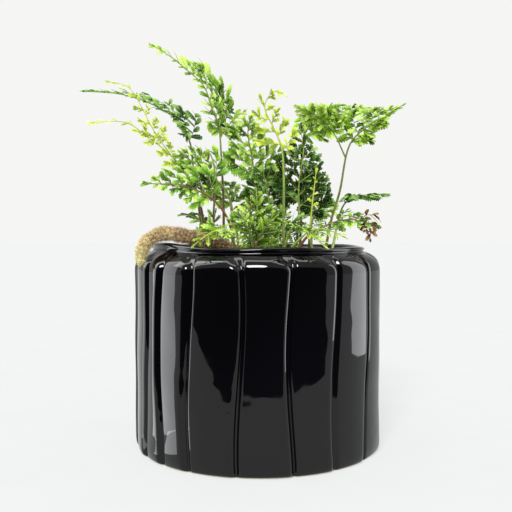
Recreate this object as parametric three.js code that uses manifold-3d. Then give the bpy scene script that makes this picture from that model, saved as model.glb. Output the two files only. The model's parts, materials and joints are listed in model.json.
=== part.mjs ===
// A young rabbit's foot fern (Davallia) in a black glazed pot, in millimetres, +Z up.
// The origin is the centre of the pot's flat foot, and the plant's front faces -Y.
// The pot is one fired piece with seventeen draped panels. It holds potting mix, a furry branching
// rhizome lies on the mix and creeps over the rim, and each frond's stipe stands in its own hole.
import * as THREE from "three";
import { mergeVertices } from "three/addons/utils/BufferGeometryUtils.js";
import Module from "manifold-3d";

const wasm = await Module();
wasm.setup();

// ---- Driving dimensions -------------------------------------------------------------------------

const BODY_RADIUS = 60.2; // over the panels' ridges
const GROOVE_DEPTH = 2.4; // from a ridge to the bottom of the groove beside it
const FOOT_RADIUS = 57.6;
const FOOT_HEIGHT = 0.5; // bare foot below the glaze
const SHOULDER_START = 86;
const SHOULDER_RADIUS = 58.9; // half-way round the shoulder
const NECK_START = 93.9; // where the shoulder ends in the groove below the lip
const NECK_RADIUS = 51;
const MOUTH_RADIUS = 46.5;
const LIP_TOP = 96.3;
const LIP_CREST = 2.4; // how far the hand-made lip rises at the left
const LIP_CREST_AT = -60; // degrees from the front, to the left
const FLOOR_TOP = 6;
const INNER_RADIUS = 54;
const INNER_TOP = 82; // where the inner wall starts to slope in to the mouth

// Where each groove crosses mid-height, in degrees from the front, to the right.
const GROOVES = [-79, -59.5, -47.5, -31, -8, 14, 35, 56, 75, 98, 121, 144, 166.5, 189.5, 212.5, 235, 258];
const GROOVE_WANDER = 1.5; // degrees that a groove strays to each side
const WANDER_LENGTH = 120; // height of one full stray

const CLEARANCE = 0.3; // between pieces that touch
const SOIL_EDGE = 86.2;
const SOIL_MOUND = 3.6;
const HOLE_DEPTH = 5;
const HOLE_TOP = 12; // how far the hole cutter reaches above the soil, through the rhizome
const STIPE_RADIUS = 0.75;
const STAND = 7; // height over which a stipe stands upright above the mix
const STIPE_STEP = 9; // length of one straight piece of a stipe
const RACHIS_SHARE = 0.56; // a stipe's girth at its first pinnae, as a share of its foot's
const RIB_HALF = 0.42; // half the width of a blade's ribs
const RIB_OVERLAP = 1.5; // how far the stipe and the blade run into each other
const PINNA_SPREAD = 62; // degrees from the rachis to the lowest pinnae, unless a spray gives its own
const LAST_SPREAD = 40; // degrees from the rachis to the highest pinnae
const LEFT_LAG = 0.35; // how far each left pinna sits past its right one, as a share of their pitch
const FIRST_PINNA = 0.1; // where the first right pinna sits, as a share of the pitch
const SECOND_PINNA = 0.74; // length of the second pinna, as a share of the first
const LENGTH_CHANCE = 0.14; // how much the pinnae differ in length
const LOBE_PITCH = 6; // length of rib for each lobe
const MOST_LOBES = 4;
const FIRST_LOBE = 0.35; // bare start of a pinna's rib, as a share of the lobes' pitch
const LAST_LOBE = 0.6; // the last lobe's own length, as a share of the lobes' pitch
const LOBE_FORWARD = 0.62; // how far a lobe's tip points forwards, as a share of the lobes' pitch
const CUT = 0.3; // how deep the notches leave the blade, as a share of its width
const PINNA_WIDTH = 0.62; // greatest width of a pinna, as a share of its length
const FILL = 0.95; // how much of the space between its neighbours a pinna fills
const SHORT_PINNA = 6; // pinnae up to this long have one plain lobe on each side
const SKIRT = 0.3; // how far the lowest pinna's lower lobes reach, as a share of its length
const TIP_SHARE = 0.14; // the share of a blade past its last pinnae
const PINNA_BOW = 0.12; // how far the pinnae bow forwards
const LIFT = 0.12; // how steeply the pinnae rise from the rachis
const DROOP = 0.012; // how fast they bend down again, per millimetre
const WAVE = 0.09; // ripple of the pinnae, as a share of their reach
const WAVE_RATE = 0.55; // radians of ripple for each millimetre along the rachis
const BLADE_THICKNESS = 0.7;
const RHIZOME_RADIUS = 3.1;

const MATURE = { colour: 0x4f8a2a, roughness: 0.5 };
const DARK = { colour: 0x1f5a22, roughness: 0.5 };
const YOUNG = { colour: 0xa9c92f, roughness: 0.55 };
const FRESH = { colour: 0x74a832, roughness: 0.5 };

// ---- Small helpers ------------------------------------------------------------------------------

const radians = THREE.MathUtils.degToRad;
const vector = (xyz) => new THREE.Vector3(...xyz);
const mix = THREE.MathUtils.lerp;

// Repeatable noise from 0 to 1 for a seed and a count.
function chance(seed, count) {
  const wave = Math.sin(seed * 12.9898 + count * 78.233) * 437.585;
  return wave - Math.floor(wave);
}

// A closed skin over a row of equal rings of points, with its ends closed to their centres.
function skinOf(rings) {
  const columns = rings[0].length;
  const points = rings.flat();
  const faces = [];
  const add = (a, b, c) => faces.push(a, b, c);
  for (let row = 0; row + 1 < rings.length; row++) {
    for (let column = 0; column < columns; column++) {
      const next = (column + 1) % columns;
      const a = row * columns + column;
      const b = row * columns + next;
      add(a, b, b + columns);
      add(a, b + columns, a + columns);
    }
  }
  for (const [row, turn] of [[0, false], [rings.length - 1, true]]) {
    const ring = rings[row];
    const centre = ring.reduce((sum, p) => sum.add(p), new THREE.Vector3()).divideScalar(columns);
    const hub = points.push(centre) - 1;
    for (let column = 0; column < columns; column++) {
      const a = row * columns + column;
      const b = row * columns + ((column + 1) % columns);
      if (turn) add(a, b, hub);
      else add(b, a, hub);
    }
  }
  return new THREE.BufferGeometry().setFromPoints(points).setIndex(faces);
}

function solidOf(geometry) {
  const bare = new THREE.BufferGeometry().setAttribute("position", geometry.getAttribute("position"));
  bare.setIndex(geometry.index);
  const merged = mergeVertices(bare, 1e-4);
  const mesh = new wasm.Mesh({
    numProp: 3,
    vertProperties: new Float32Array(merged.attributes.position.array),
    triVerts: new Uint32Array(merged.index.array),
  });
  return new wasm.Manifold(mesh);
}

function geometryOf(solid) {
  const mesh = solid.getMesh();
  const geometry = new THREE.BufferGeometry();
  geometry.setAttribute("position", new THREE.BufferAttribute(new Float32Array(mesh.vertProperties), 3));
  geometry.setIndex(new THREE.BufferAttribute(new Uint32Array(mesh.triVerts), 1));
  return geometry;
}

const joined = (solids) => solids.reduce((whole, piece) => whole.add(piece));

// ---- Pot ----------------------------------------------------------------------------------------

// The outer wall's profile: height, radius over the ridges, and how deep the grooves are there.
const WALL_PROFILE = [
  [FOOT_HEIGHT, FOOT_RADIUS + 1, 0.4],
  [2.8, BODY_RADIUS - 0.2, 1],
  [30, BODY_RADIUS, 1],
  [58, BODY_RADIUS, 1],
  [SHOULDER_START, BODY_RADIUS, 1],
  [89.6, SHOULDER_RADIUS, 1],
  [92.2, 55.6, 0.6],
  [NECK_START, NECK_RADIUS + 0.6, 0.1],
];

// Corners of one panel across its width: the groove, the sharp left edge and the ridge.
const PANEL_CORNERS = [
  { across: 0, depth: 1 },
  { across: 0.07, depth: 0.42 },
  { across: 0.86, depth: 0 },
];

function grooveAngle(index, height) {
  const turn = 360 * Math.floor(index / GROOVES.length);
  const number = index % GROOVES.length;
  const phase = Math.PI + 1.2 * Math.sin(number * 2.1);
  const stray = GROOVE_WANDER * Math.sin((2 * Math.PI * height) / WANDER_LENGTH + phase);
  return GROOVES[number] + turn + stray;
}

// The angle of a panel corner, in radians, from the front towards the right.
function cornerAngle(panel, corner, height) {
  return radians(mix(grooveAngle(panel, height), grooveAngle(panel + 1, height), corner.across));
}

// How far the lip stands above its usual height at an angle.
function lipCrest(angle) {
  const off = Math.cos(angle - radians(LIP_CREST_AT));
  return LIP_CREST * Math.pow(Math.max(0, off), 12);
}

function potRing(height, radiusAt, rise = () => 0) {
  const ring = [];
  for (let panel = 0; panel < GROOVES.length; panel++) {
    for (const corner of PANEL_CORNERS) {
      const angle = cornerAngle(panel, corner, height);
      const radius = radiusAt(corner);
      const x = radius * Math.sin(angle);
      const y = -radius * Math.cos(angle);
      ring.push(new THREE.Vector3(x, y, height + rise(angle)));
    }
  }
  return ring;
}

function makePot() {
  const plain = (radius) => () => radius;
  const rings = [potRing(0, plain(FOOT_RADIUS)), potRing(FOOT_HEIGHT, plain(FOOT_RADIUS))];
  for (const [height, radius, relief] of WALL_PROFILE) {
    rings.push(potRing(height, (corner) => radius - GROOVE_DEPTH * relief * corner.depth));
  }
  rings.push(
    potRing(LIP_TOP - 1, plain(NECK_RADIUS), lipCrest),
    potRing(LIP_TOP, plain(NECK_RADIUS - 1.5), lipCrest),
    potRing(LIP_TOP - 1.6, plain(MOUTH_RADIUS), lipCrest),
    potRing(INNER_TOP, plain(INNER_RADIUS)),
    potRing(FLOOR_TOP, plain(INNER_RADIUS)),
  );
  return skinOf(rings);
}

// ---- Potting mix --------------------------------------------------------------------------------

function soilTop(x, y) {
  const share = Math.hypot(x, y) / MOUTH_RADIUS;
  const lumps = 0.5 * Math.sin(0.31 * x + 1) * Math.sin(0.27 * y) + 0.35 * Math.sin(0.5 * x - 0.43 * y);
  return SOIL_EDGE + 0.4 + SOIL_MOUND * Math.max(0, 1 - share * share) + (share < 1 ? lumps : 0);
}

function makeSoil() {
  const columns = 20;
  const ring = (radius, height) =>
    Array.from({ length: columns }, (_, column) => {
      const angle = (2 * Math.PI * column) / columns;
      const x = radius * Math.cos(angle);
      const y = radius * Math.sin(angle);
      return new THREE.Vector3(x, y, height ?? soilTop(x, y));
    });
  return skinOf([
    ring(INNER_RADIUS - 1, FLOOR_TOP + CLEARANCE),
    ring(INNER_RADIUS - 1, INNER_TOP - 1),
    ring(MOUTH_RADIUS + 2.4, SOIL_EDGE),
    ring(38),
    ring(20),
  ]);
}

// ---- Swept shapes -------------------------------------------------------------------------------

// Rings along a curve for a tube. The radius is a function of the share of its length.
function tubeRings(curve, steps, sides, radiusAt) {
  const up = new THREE.Vector3(0, 0, 1);
  const rings = [];
  for (let step = 0; step <= steps; step++) {
    const share = step / steps;
    const centre = curve.getPointAt(share);
    const tangent = curve.getTangentAt(share);
    const right = new THREE.Vector3().crossVectors(tangent, up).normalize();
    const top = new THREE.Vector3().crossVectors(right, tangent);
    const radius = radiusAt(share);
    rings.push(
      Array.from({ length: sides }, (_, side) => {
        const angle = (2 * Math.PI * (side + 0.5)) / sides;
        return centre
          .clone()
          .addScaledVector(right, -radius * Math.cos(angle))
          .addScaledVector(top, radius * Math.sin(angle));
      }),
    );
  }
  return rings;
}

// ---- Rhizome ------------------------------------------------------------------------------------

// Each branch's middle line. The first creeps left over the rim and hangs down outside.
const RHIZOME_BRANCHES = [
  { way: [[8, -8, 92], [0, -16, 92], [-9, -25, 93.5], [-19, -31, 97.8], [-29, -33, 100.6],
    [-37, -30.5, 102.1], [-43.5, -27.5, 102.4], [-49, -29.4, 99.9], [-51.9, -31.6, 95],
    [-52.9, -33.2, 87.5]], steps: 17, girth: 1 },
  { way: [[28, 12, 91.5], [17, 5, 92], [6, -6, 92], [-6, -10, 92], [-20, -10, 91.5], [-33, -6, 90.3]],
    steps: 8, girth: 0.95 },
  { way: [[16, 4, 92], [19, -8, 91.6], [21, -20, 91], [24, -31, 90]], steps: 5, girth: 0.85 },
  { way: [[20, 7, 92], [23, 20, 91], [20, 33, 89.8]], steps: 4, girth: 0.85 },
  { way: [[4, -4, 92], [-4, 8, 91.8], [-9, 20, 91], [-13, 31, 90]], steps: 5, girth: 0.85 },
];

// Thick along its length, a little lumpy, and blunt at the growing tip.
function rhizomeRadius(girth, share) {
  const lumps = 1 + 0.06 * Math.sin(share * 40);
  const tip = Math.sqrt(Math.max(0.06, Math.min(1, (1 - share) * 9)));
  const tail = Math.min(1, 0.7 + share * 3);
  return RHIZOME_RADIUS * girth * lumps * tip * tail;
}

function makeRhizome(extra) {
  const branches = RHIZOME_BRANCHES.map(({ way, steps, girth }) => {
    const curve = new THREE.CatmullRomCurve3(way.map(vector), false, "catmullrom", 0.5);
    return solidOf(skinOf(tubeRings(curve, steps, 6, (share) => rhizomeRadius(girth, share) + extra)));
  });
  return joined(branches);
}

// ---- Fronds -------------------------------------------------------------------------------------

// A spine and the frame that rides on it: the tangent, the blade's right side and its upper face.
// Past its end the spine runs straight on.
function spineOf(spray) {
  const start = spray.from ? vector(spray.from) : footOf(spray);
  const curve = new THREE.CatmullRomCurve3([start, ...spray.way.map(vector)], false, "catmullrom", 0.5);
  const firstHint = vector(spray.side);
  const lastHint = vector(spray.sideEnd ?? spray.side);
  const length = curve.getLength();
  const at = (distance) => {
    const share = Math.min(1, Math.max(0, distance / length));
    const tangent = curve.getTangentAt(share);
    const point = curve.getPointAt(share).addScaledVector(tangent, distance - share * length);
    const twist = Math.max(0, (share - spray.bare) / (1 - spray.bare));
    const hint = firstHint.clone().lerp(lastHint, twist);
    const side = hint.addScaledVector(tangent, -hint.dot(tangent)).normalize();
    const normal = new THREE.Vector3().crossVectors(side, tangent);
    return { point, tangent, side, normal };
  };
  return { at, length, bladeStart: length * spray.bare };
}

// Where a stipe leaves the upright: it stands clear of the mix and of the rhizome beside it.
function footOf({ foot: [x, y], stand = STAND }) {
  return new THREE.Vector3(x, y, soilTop(x, y) + stand);
}

// The bare stipe, from the bottom of its hole to a little past the first pinnae.
function stipeSolid(spray, spine) {
  const sides = 4;
  const girth = spray.girth ?? 1;
  const ringAt = (centre, right, top, radius) =>
    Array.from({ length: sides }, (_, side) => {
      const angle = (2 * Math.PI * (side + 0.5)) / sides;
      return centre
        .clone()
        .addScaledVector(right, radius * Math.cos(angle))
        .addScaledVector(top, radius * Math.sin(angle));
    });
  const rings = [];
  const foot = spine.at(0);
  const flatSide = foot.side.clone().setZ(0).normalize();
  const flatBack = new THREE.Vector3(-flatSide.y, flatSide.x, 0);
  const radius = STIPE_RADIUS * girth;
  if (!spray.from) {
    const bottom = foot.point.clone().setZ(foot.point.z - (spray.stand ?? STAND) - HOLE_DEPTH);
    rings.push(ringAt(bottom, flatSide, flatBack, radius), ringAt(foot.point, flatSide, flatBack, radius));
  } else {
    rings.push(ringAt(foot.point, foot.side, foot.normal.clone().negate(), radius * RACHIS_SHARE));
  }
  const end = spine.bladeStart + RIB_OVERLAP;
  const steps = Math.max(2, Math.round(end / STIPE_STEP));
  for (let step = 1; step <= steps; step++) {
    const here = spine.at((end * step) / steps);
    const thin = mix(1, RACHIS_SHARE, step / steps);
    rings.push(ringAt(here.point, here.side, here.normal.clone().negate(), radius * thin));
  }
  return solidOf(skinOf(rings));
}

// How long pinna number `pair` of a blade is: the lowest is the longest, and the rest taper off.
function pinnaLength(spray, pair, hand) {
  const lopsided = hand < 0 ? spray.left ?? 1 : 1;
  const taper = pair === 0 ? 1 : (spray.next ?? SECOND_PINNA) * (1 - (pair - 1) / (spray.pairs + 0.4));
  const growth = 1 + LENGTH_CHANCE * (chance(spray.pinna + hand, pair + 1) - 0.5);
  return spray.pinna * taper * lopsided * growth;
}

// The notches and tips of a pinna's lobes on one side of its rib, as [along, out] points.
function lobesOf(reach, half, lobes) {
  const points = [];
  const pitch = reach / (lobes + LAST_LOBE);
  for (let lobe = 0; lobe < lobes; lobe++) {
    const from = pitch * (lobe + FIRST_LOBE);
    const width = half * Math.pow(1 - lobe / (lobes + 0.5), 0.7);
    if (reach > SHORT_PINNA) points.push([from, Math.max(RIB_HALF * 0.7, width * CUT)]);
    points.push([from + LOBE_FORWARD * pitch, width]);
  }
  return points;
}

// The pinnae on one side of a blade, from its base to its tip. Each is the outline of one pinna
// as [along, out] points, from its lower root round its tip to its upper root. A pinna leans
// forwards, and its edge is cut into lobes that point towards its tip.
function pinnaOutlines(spray, length, hand) {
  const pairs = spray.pairs;
  const pitch = (length * (1 - TIP_SHARE)) / pairs;
  const outlines = [];
  for (let pair = 0; pair < pairs; pair++) {
    const reach = pinnaLength(spray, pair, hand);
    const firstSpread = (hand < 0 && spray.leftSpread) || (spray.spread ?? PINNA_SPREAD);
    const spread = radians(mix(firstSpread, LAST_SPREAD, pair / pairs));
    const root = pitch * (pair + FIRST_PINNA + (hand < 0 ? LEFT_LAG : 0));
    const lobes = Math.max(1, Math.min(MOST_LOBES, Math.round(reach / LOBE_PITCH)));
    const half = 0.5 * (spray.fill ?? FILL) * Math.min(pitch * Math.sin(spread), reach * PINNA_WIDTH);
    const skirt = reach * (spray.skirt ?? SKIRT);
    const lower = lobesOf(reach, pair ? half : Math.max(half, skirt), lobes);
    const upper = lobesOf(reach, half, lobes).reverse();
    const local = [...lower.map(([a, b]) => [a, -b]), [reach, 0], ...upper];
    const outline = local.map(([a, b]) => {
      const bow = (PINNA_BOW * a * a) / reach;
      return [
        root + a * Math.cos(spread) + b * Math.sin(spread) + bow,
        hand * (RIB_HALF + a * Math.sin(spread) - b * Math.cos(spread)),
      ];
    });
    const lowerRoot = [root - RIB_HALF, hand * RIB_HALF];
    const upperRoot = [root + RIB_HALF * 1.6, hand * RIB_HALF];
    outlines.push([lowerRoot, ...outline, upperRoot]);
  }
  return outlines;
}

// The flat pattern of a blade: its points, its triangles and the order of its edge. The triangles
// stay within one pinna, or within one short piece of the rachis, so the blade can arch.
function bladePattern(spray, length) {
  const points = [];
  const triangles = [];
  const add = (point) => points.push(point) - 1;
  const chains = [1, -1].map((hand) => {
    const chain = [add([-RIB_OVERLAP, hand * RIB_HALF])];
    const edge = [...chain];
    for (const outline of pinnaOutlines(spray, length, hand)) {
      const numbers = outline.map(add);
      const flat = outline.map(([along, out]) => new THREE.Vector2(along, out));
      for (const [a, b, c] of THREE.ShapeUtils.triangulateShape(flat, [])) {
        triangles.push([numbers[a], numbers[b], numbers[c]]);
      }
      chain.push(numbers[0], numbers.at(-1));
      edge.push(...numbers);
    }
    const shoulder = add([length * (1 - TIP_SHARE * 0.55), hand * length * TIP_SHARE * 0.22]);
    chain.push(shoulder);
    edge.push(shoulder);
    return { chain, edge };
  });
  const tip = add([length, 0]);
  // Zip the two edges of the rachis together, always from the one that lags behind.
  const [right, left] = chains.map(({ chain }) => chain);
  let a = 0;
  let b = 0;
  while (a + 1 < right.length || b + 1 < left.length) {
    const rightDone = a + 1 === right.length;
    const leftDone = b + 1 === left.length;
    if (leftDone || (!rightDone && points[right[a + 1]][0] <= points[left[b + 1]][0])) {
      triangles.push([right[a], right[a + 1], left[b]]);
      a++;
    } else {
      triangles.push([right[a], left[b + 1], left[b]]);
      b++;
    }
  }
  triangles.push([right[a], tip, left[b]]);
  const loop = [...chains[0].edge, tip, ...chains[1].edge.reverse()];
  return { points, triangles, loop };
}

// The whole blade: the pattern given its thickness and laid along the spine.
function bladeSolid(spray, spine) {
  const { points, triangles, loop } = bladePattern(spray, spine.length - spine.bladeStart);
  const lift = spray.lift ?? LIFT;
  const droop = spray.droop ?? DROOP;
  const laid = [1, -1].map((face) =>
    points.map(([along, out]) => {
      const wave = WAVE * Math.abs(out) * Math.sin(along * WAVE_RATE + spray.pinna);
      const raised = lift * Math.abs(out) - droop * out * out + wave + (face * BLADE_THICKNESS) / 2;
      const here = spine.at(spine.bladeStart + along);
      return here.point.addScaledVector(here.side, out).addScaledVector(here.normal, raised);
    }),
  );
  const count = points.length;
  const faces = [];
  for (const [a, b, c] of triangles) {
    const turn = (points[b][0] - points[a][0]) * (points[c][1] - points[a][1]);
    const back = (points[c][0] - points[a][0]) * (points[b][1] - points[a][1]);
    // Seen from above, out runs to the right of along, so a pattern that turns left faces down.
    if (turn > back) faces.push(a, c, b, a + count, b + count, c + count);
    else faces.push(a, b, c, a + count, c + count, b + count);
  }
  for (let index = 0; index < loop.length; index++) {
    const a = loop[index];
    const b = loop[(index + 1) % loop.length];
    faces.push(b, a, a + count, b, a + count, b + count);
  }
  return solidOf(new THREE.BufferGeometry().setFromPoints(laid.flat()).setIndex(faces));
}

function spraySolid(spray) {
  const spine = spineOf(spray);
  return stipeSolid(spray, spine).add(bladeSolid(spray, spine));
}

// Each spray is one blade on its stipe. Its spine runs from `foot` on the mix, or from the point
// `from` on another spine, past the points of `way`. The share `bare` of it is stipe, and the rest
// carries `pairs` of pinnae, the longest of them `pinna` long. `side` is the direction of the
// blade's right-hand side, which turns the upper face to side x spine, and `sideEnd` that at the tip.
// The rest bends one spray away from the usual: `next` is the second pinna's length as a share of
// the first, `left` that of the left pinnae as a share of the right ones, `spread` and `leftSpread`
// the lowest pinnae's angle, `skirt` the reach of their lower lobes, `fill` the pinnae's breadth,
// `lift` and `droop` their rise and bend, `stand` the upright foot's height and `girth` the stipe's.
const SPRAYS = [
  { node: "frond_tall_left", leaf: MATURE, foot: [-17, 4], bare: 0.49, pinna: 27, pairs: 8, left: 0.5,
    next: 0.65, spread: 44, skirt: 0.5, side: [0.5, 0.7, 0.5], way: [[-17, 3, 118], [-18, 1, 140],
    [-19, 0, 154], [-22, -3, 162], [-26, -5, 173], [-34, -9, 180], [-42, -12, 186], [-51, -15, 191]] },
  { node: "frond_left_arch", leaf: DARK, foot: [-27, 8], bare: 0.46, pinna: 16, pairs: 8, next: 0.8,
    lift: 0.5, side: [0.4, 0.9, 0], sideEnd: [0, 1, 0], way: [[-29, 8, 112], [-32, 8, 132],
    [-34, 8, 148], [-41, 5, 159], [-53, 2, 166], [-67, 0, 170], [-86, -3, 171]] },
  { node: "frond_young_left", leaf: YOUNG, foot: [-26, -3], bare: 0.42, pinna: 10, pairs: 5, lift: 0.2,
    fill: 0.7, side: [0.25, 0.7, 0.5], way: [[-27, -4, 112], [-31, -8, 126], [-41, -12, 139],
    [-51, -16, 147], [-62, -18, 154], [-79, -21, 153]] },
  { node: "frond_young_left", leaf: YOUNG, from: [-41, -12, 139], bare: 0.15, pinna: 8, pairs: 4,
    fill: 0.7, side: [0.5, 0.6, 0.5], way: [[-49, -15, 151], [-54, -17, 161], [-60, -19, 170],
    [-70, -21, 172]] },
  { node: "frond_low_left", leaf: MATURE, foot: [-12, -17], bare: 0.42, pinna: 18, pairs: 6, next: 0.8,
    side: [0.3, 0.5, 0.8], way: [[-12, -18, 102], [-15, -20, 111], [-22, -22, 119], [-34, -25, 124],
    [-52, -31, 125]] },
  { node: "frond_mid_left", leaf: MATURE, foot: [-12, -5], bare: 0.58, pinna: 17, pairs: 5, next: 0.8,
    side: [0.6, 0.5, 0.6], way: [[-12, -6, 104], [-14, -6, 120], [-20, -7, 128], [-28, -9, 134],
    [-38, -12, 142]] },
  { node: "frond_centre", leaf: MATURE, foot: [0, 10], bare: 0.48, pinna: 22, pairs: 6, next: 0.8,
    spread: 52, side: [1, 0.1, 0.1], way: [[0, 10, 114], [-1, 9, 126], [-3, 6, 140], [-5, 4, 152],
    [-3, -1, 160]] },
  { node: "frond_curled_tip", leaf: YOUNG, foot: [12, -13], bare: 0.55, pinna: 12, pairs: 5, fill: 0.55,
    next: 0.8, side: [1, 0, 0], way: [[12, -14, 112], [12, -15, 128], [11, -16, 142], [7, -16, 152],
    [3, -17, 161], [7, -18, 168], [13, -18, 166]] },
  { node: "frond_large_right", leaf: FRESH, foot: [34, 10], bare: 0.56, pinna: 21, pairs: 7, next: 0.9,
    spread: 50, leftSpread: 84, skirt: 0.25, lift: 0.25, droop: 0.007, side: [0.8, -0.6, 0],
    sideEnd: [0, -0.9, -0.3], way: [[37, 10, 110], [41, 9, 124], [44, 7, 142], [48, 5, 150],
    [57, -2, 157], [70, -10, 164]] },
  { node: "frond_right_back", leaf: MATURE, foot: [22, 25], bare: 0.58, pinna: 17, pairs: 7, next: 0.9,
    side: [0.5, -0.7, -0.5], sideEnd: [0, -0.85, -0.5], way: [[23, 28, 119], [23, 29, 144],
    [26, 29, 157], [38, 28, 163], [59, 26, 168]] },
  { node: "frond_dark_upright", leaf: DARK, foot: [19, 2], bare: 0.3, pinna: 17, pairs: 7, next: 0.95,
    side: [1, 0.1, 0], way: [[20, 2, 112], [20, 0, 128], [22, -2, 142], [20, -4, 155]] },
  { node: "frond_dark_right", leaf: DARK, foot: [27, 13], bare: 0.35, pinna: 14, pairs: 6, next: 0.95,
    side: [0.9, 0.2, -0.3], way: [[27, 14, 108], [28, 13, 122], [31, 12, 137]] },
  { node: "frond_dark_left", leaf: DARK, foot: [8, 3], bare: 0.35, pinna: 15, pairs: 6, next: 0.95,
    side: [0.9, 0.1, 0.3], way: [[8, 4, 106], [5, 5, 120], [2, 4, 136]] },
  { node: "frond_low_right", leaf: DARK, foot: [38, 17], bare: 0.5, pinna: 16, pairs: 5, next: 0.9,
    lift: 0.05, side: [-0.7, -0.7, 0], way: [[41, 22, 106], [44, 24, 116], [49, 22, 121], [57, 17, 122],
    [65, 10, 122]] },
  { node: "frond_withered", leaf: MATURE, foot: [20, -4], bare: 0.45, pinna: 10, pairs: 4, next: 0.8,
    side: [0, -0.8, -0.5], way: [[24, -4, 101], [32, -6, 106], [42, -8, 109], [50, -11, 108],
    [58, -14, 105]] },
  { node: "frond_withered", leaf: MATURE, from: [46, -9.3, 108.8], bare: 0.3, pinna: 4, pairs: 2,
    girth: 0.8, side: [0.9, -0.3, 0], way: [[50, -10, 111], [53, -11, 106], [53, -12, 98]] },
  { node: "frond_small_right", leaf: FRESH, foot: [15, -25], bare: 0.35, pinna: 8, pairs: 4, next: 0.8,
    side: [0, -0.7, -0.6], way: [[18, -26, 99], [24, -27, 104], [32, -29, 104], [40, -32, 100]] },
  { node: "frond_front_right", leaf: FRESH, foot: [11, -33], bare: 0.4, pinna: 9, pairs: 4, next: 0.8,
    stand: 3, side: [-0.6, -0.4, 0.3], way: [[13, -35, 101], [16, -39, 106], [20, -45, 104],
    [29, -55, 96]] },
  { node: "frond_front_left", leaf: FRESH, foot: [-10, -36], bare: 0.4, pinna: 9, pairs: 4, next: 0.8,
    stand: 3, side: [-0.6, 0.4, 0.3], way: [[-11, -38, 100], [-15, -42, 104.5], [-21, -47, 102.5],
    [-28, -54, 97]] },
  { node: "frond_thin_stalk", leaf: YOUNG, foot: [25, -18], bare: 0.5, pinna: 4, pairs: 3, girth: 0.8,
    side: [1, 0, 0], way: [[24, -19, 102], [25, -20, 116], [27, -20, 133]] },
  { node: "frond_fiddlehead", leaf: YOUNG, foot: [-21, -12], bare: 0.8, pinna: 3, pairs: 1, girth: 0.8,
    side: [1, 0, 0], way: [[-21, -13, 112], [-20, -13, 128], [-22, -14, 140], [-25, -14, 141]] },
  { node: "tuft_left", leaf: FRESH, foot: [-21, -22], bare: 0.4, pinna: 8, pairs: 3, stand: 3,
    side: [0.5, 0.4, 0.7], way: [[-23, -23, 104], [-31, -27, 111]] },
  { node: "tuft_left", leaf: FRESH, foot: [-21, -22], bare: 0.4, pinna: 8, pairs: 3, stand: 3,
    side: [1, 0, 0], way: [[-21, -24, 102], [-19, -28, 114]] },
  { node: "tuft_front", leaf: FRESH, foot: [-2, -36], bare: 0.4, pinna: 8, pairs: 3, stand: 3,
    side: [0.8, 0.3, 0.4], way: [[-3, -36, 101], [-8, -35, 112]] },
  { node: "tuft_front", leaf: FRESH, foot: [-2, -36], bare: 0.4, pinna: 8, pairs: 3, stand: 3,
    side: [0.9, 0, -0.3], way: [[0, -38, 100], [5, -41, 109]] },
  { node: "tuft_middle", leaf: MATURE, foot: [-3, -26], bare: 0.4, pinna: 9, pairs: 3, stand: 5,
    side: [1, 0, 0], way: [[-4, -28, 104], [-3, -31, 117]] },
  { node: "tuft_middle", leaf: MATURE, foot: [-3, -26], bare: 0.4, pinna: 9, pairs: 3, stand: 5,
    side: [0.9, 0, -0.4], way: [[0, -28, 102], [8, -32, 109]] },
  { node: "tuft_centre", leaf: MATURE, foot: [0, -8], bare: 0.4, pinna: 10, pairs: 4, stand: 7,
    side: [1, 0, 0], way: [[0, -10, 106], [-1, -10, 124]] },
  { node: "tuft_centre", leaf: MATURE, foot: [0, -8], bare: 0.4, pinna: 9, pairs: 3, stand: 7,
    side: [0.9, 0, -0.3], way: [[4, -9, 105], [9, -7, 118]] },
  { node: "frond_back_left", leaf: MATURE, foot: [-10, 24], bare: 0.4, pinna: 16, pairs: 6, next: 0.9,
    side: [0.8, 0.5, 0], way: [[-12, 26, 108], [-16, 33, 124], [-24, 46, 132]] },
  { node: "frond_back_middle", leaf: DARK, foot: [6, 28], bare: 0.4, pinna: 17, pairs: 6, next: 0.9,
    side: [1, 0, 0], way: [[7, 31, 110], [8, 38, 128], [8, 53, 138]] },
  { node: "frond_back_right", leaf: MATURE, foot: [27, 30], bare: 0.4, pinna: 14, pairs: 5, next: 0.9,
    side: [0.8, -0.5, 0], way: [[28, 33, 104], [32, 40, 116], [38, 53, 120]] },
  { node: "frond_side_left", leaf: DARK, foot: [-26, 20], bare: 0.4, pinna: 12, pairs: 5, next: 0.9,
    side: [0.5, 0.8, 0], way: [[-28, 22, 103], [-32, 27, 111], [-43, 37, 112]] },
];

const nodes = new Map();
for (const spray of SPRAYS) {
  const solid = spraySolid(spray);
  const held = nodes.get(spray.node);
  nodes.set(spray.node, { leaf: spray.leaf, solid: held ? held.solid.add(solid) : solid });
}

// ---- Holes for the stipes -----------------------------------------------------------------------

function holeSolid([x, y], girth = 1) {
  const sides = 5;
  const radius = (STIPE_RADIUS * girth + CLEARANCE) / Math.cos(Math.PI / sides);
  const ground = soilTop(x, y);
  const cutter = new THREE.CylinderGeometry(radius, radius, HOLE_DEPTH + CLEARANCE + HOLE_TOP, sides);
  cutter.rotateX(Math.PI / 2);
  cutter.translate(x, y, ground + (HOLE_TOP - HOLE_DEPTH - CLEARANCE) / 2);
  return solidOf(cutter);
}

const feet = SPRAYS.filter((spray) => spray.foot);
const holes = joined(feet.map((spray) => holeSolid(spray.foot, spray.girth)));

// ---- The whole ----------------------------------------------------------------------------------

function mesh(name, geometry, { colour, roughness }) {
  const material = new THREE.MeshStandardMaterial({ color: colour, roughness, metalness: 0 });
  const made = new THREE.Mesh(geometry, material);
  made.name = name;
  return made;
}

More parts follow.
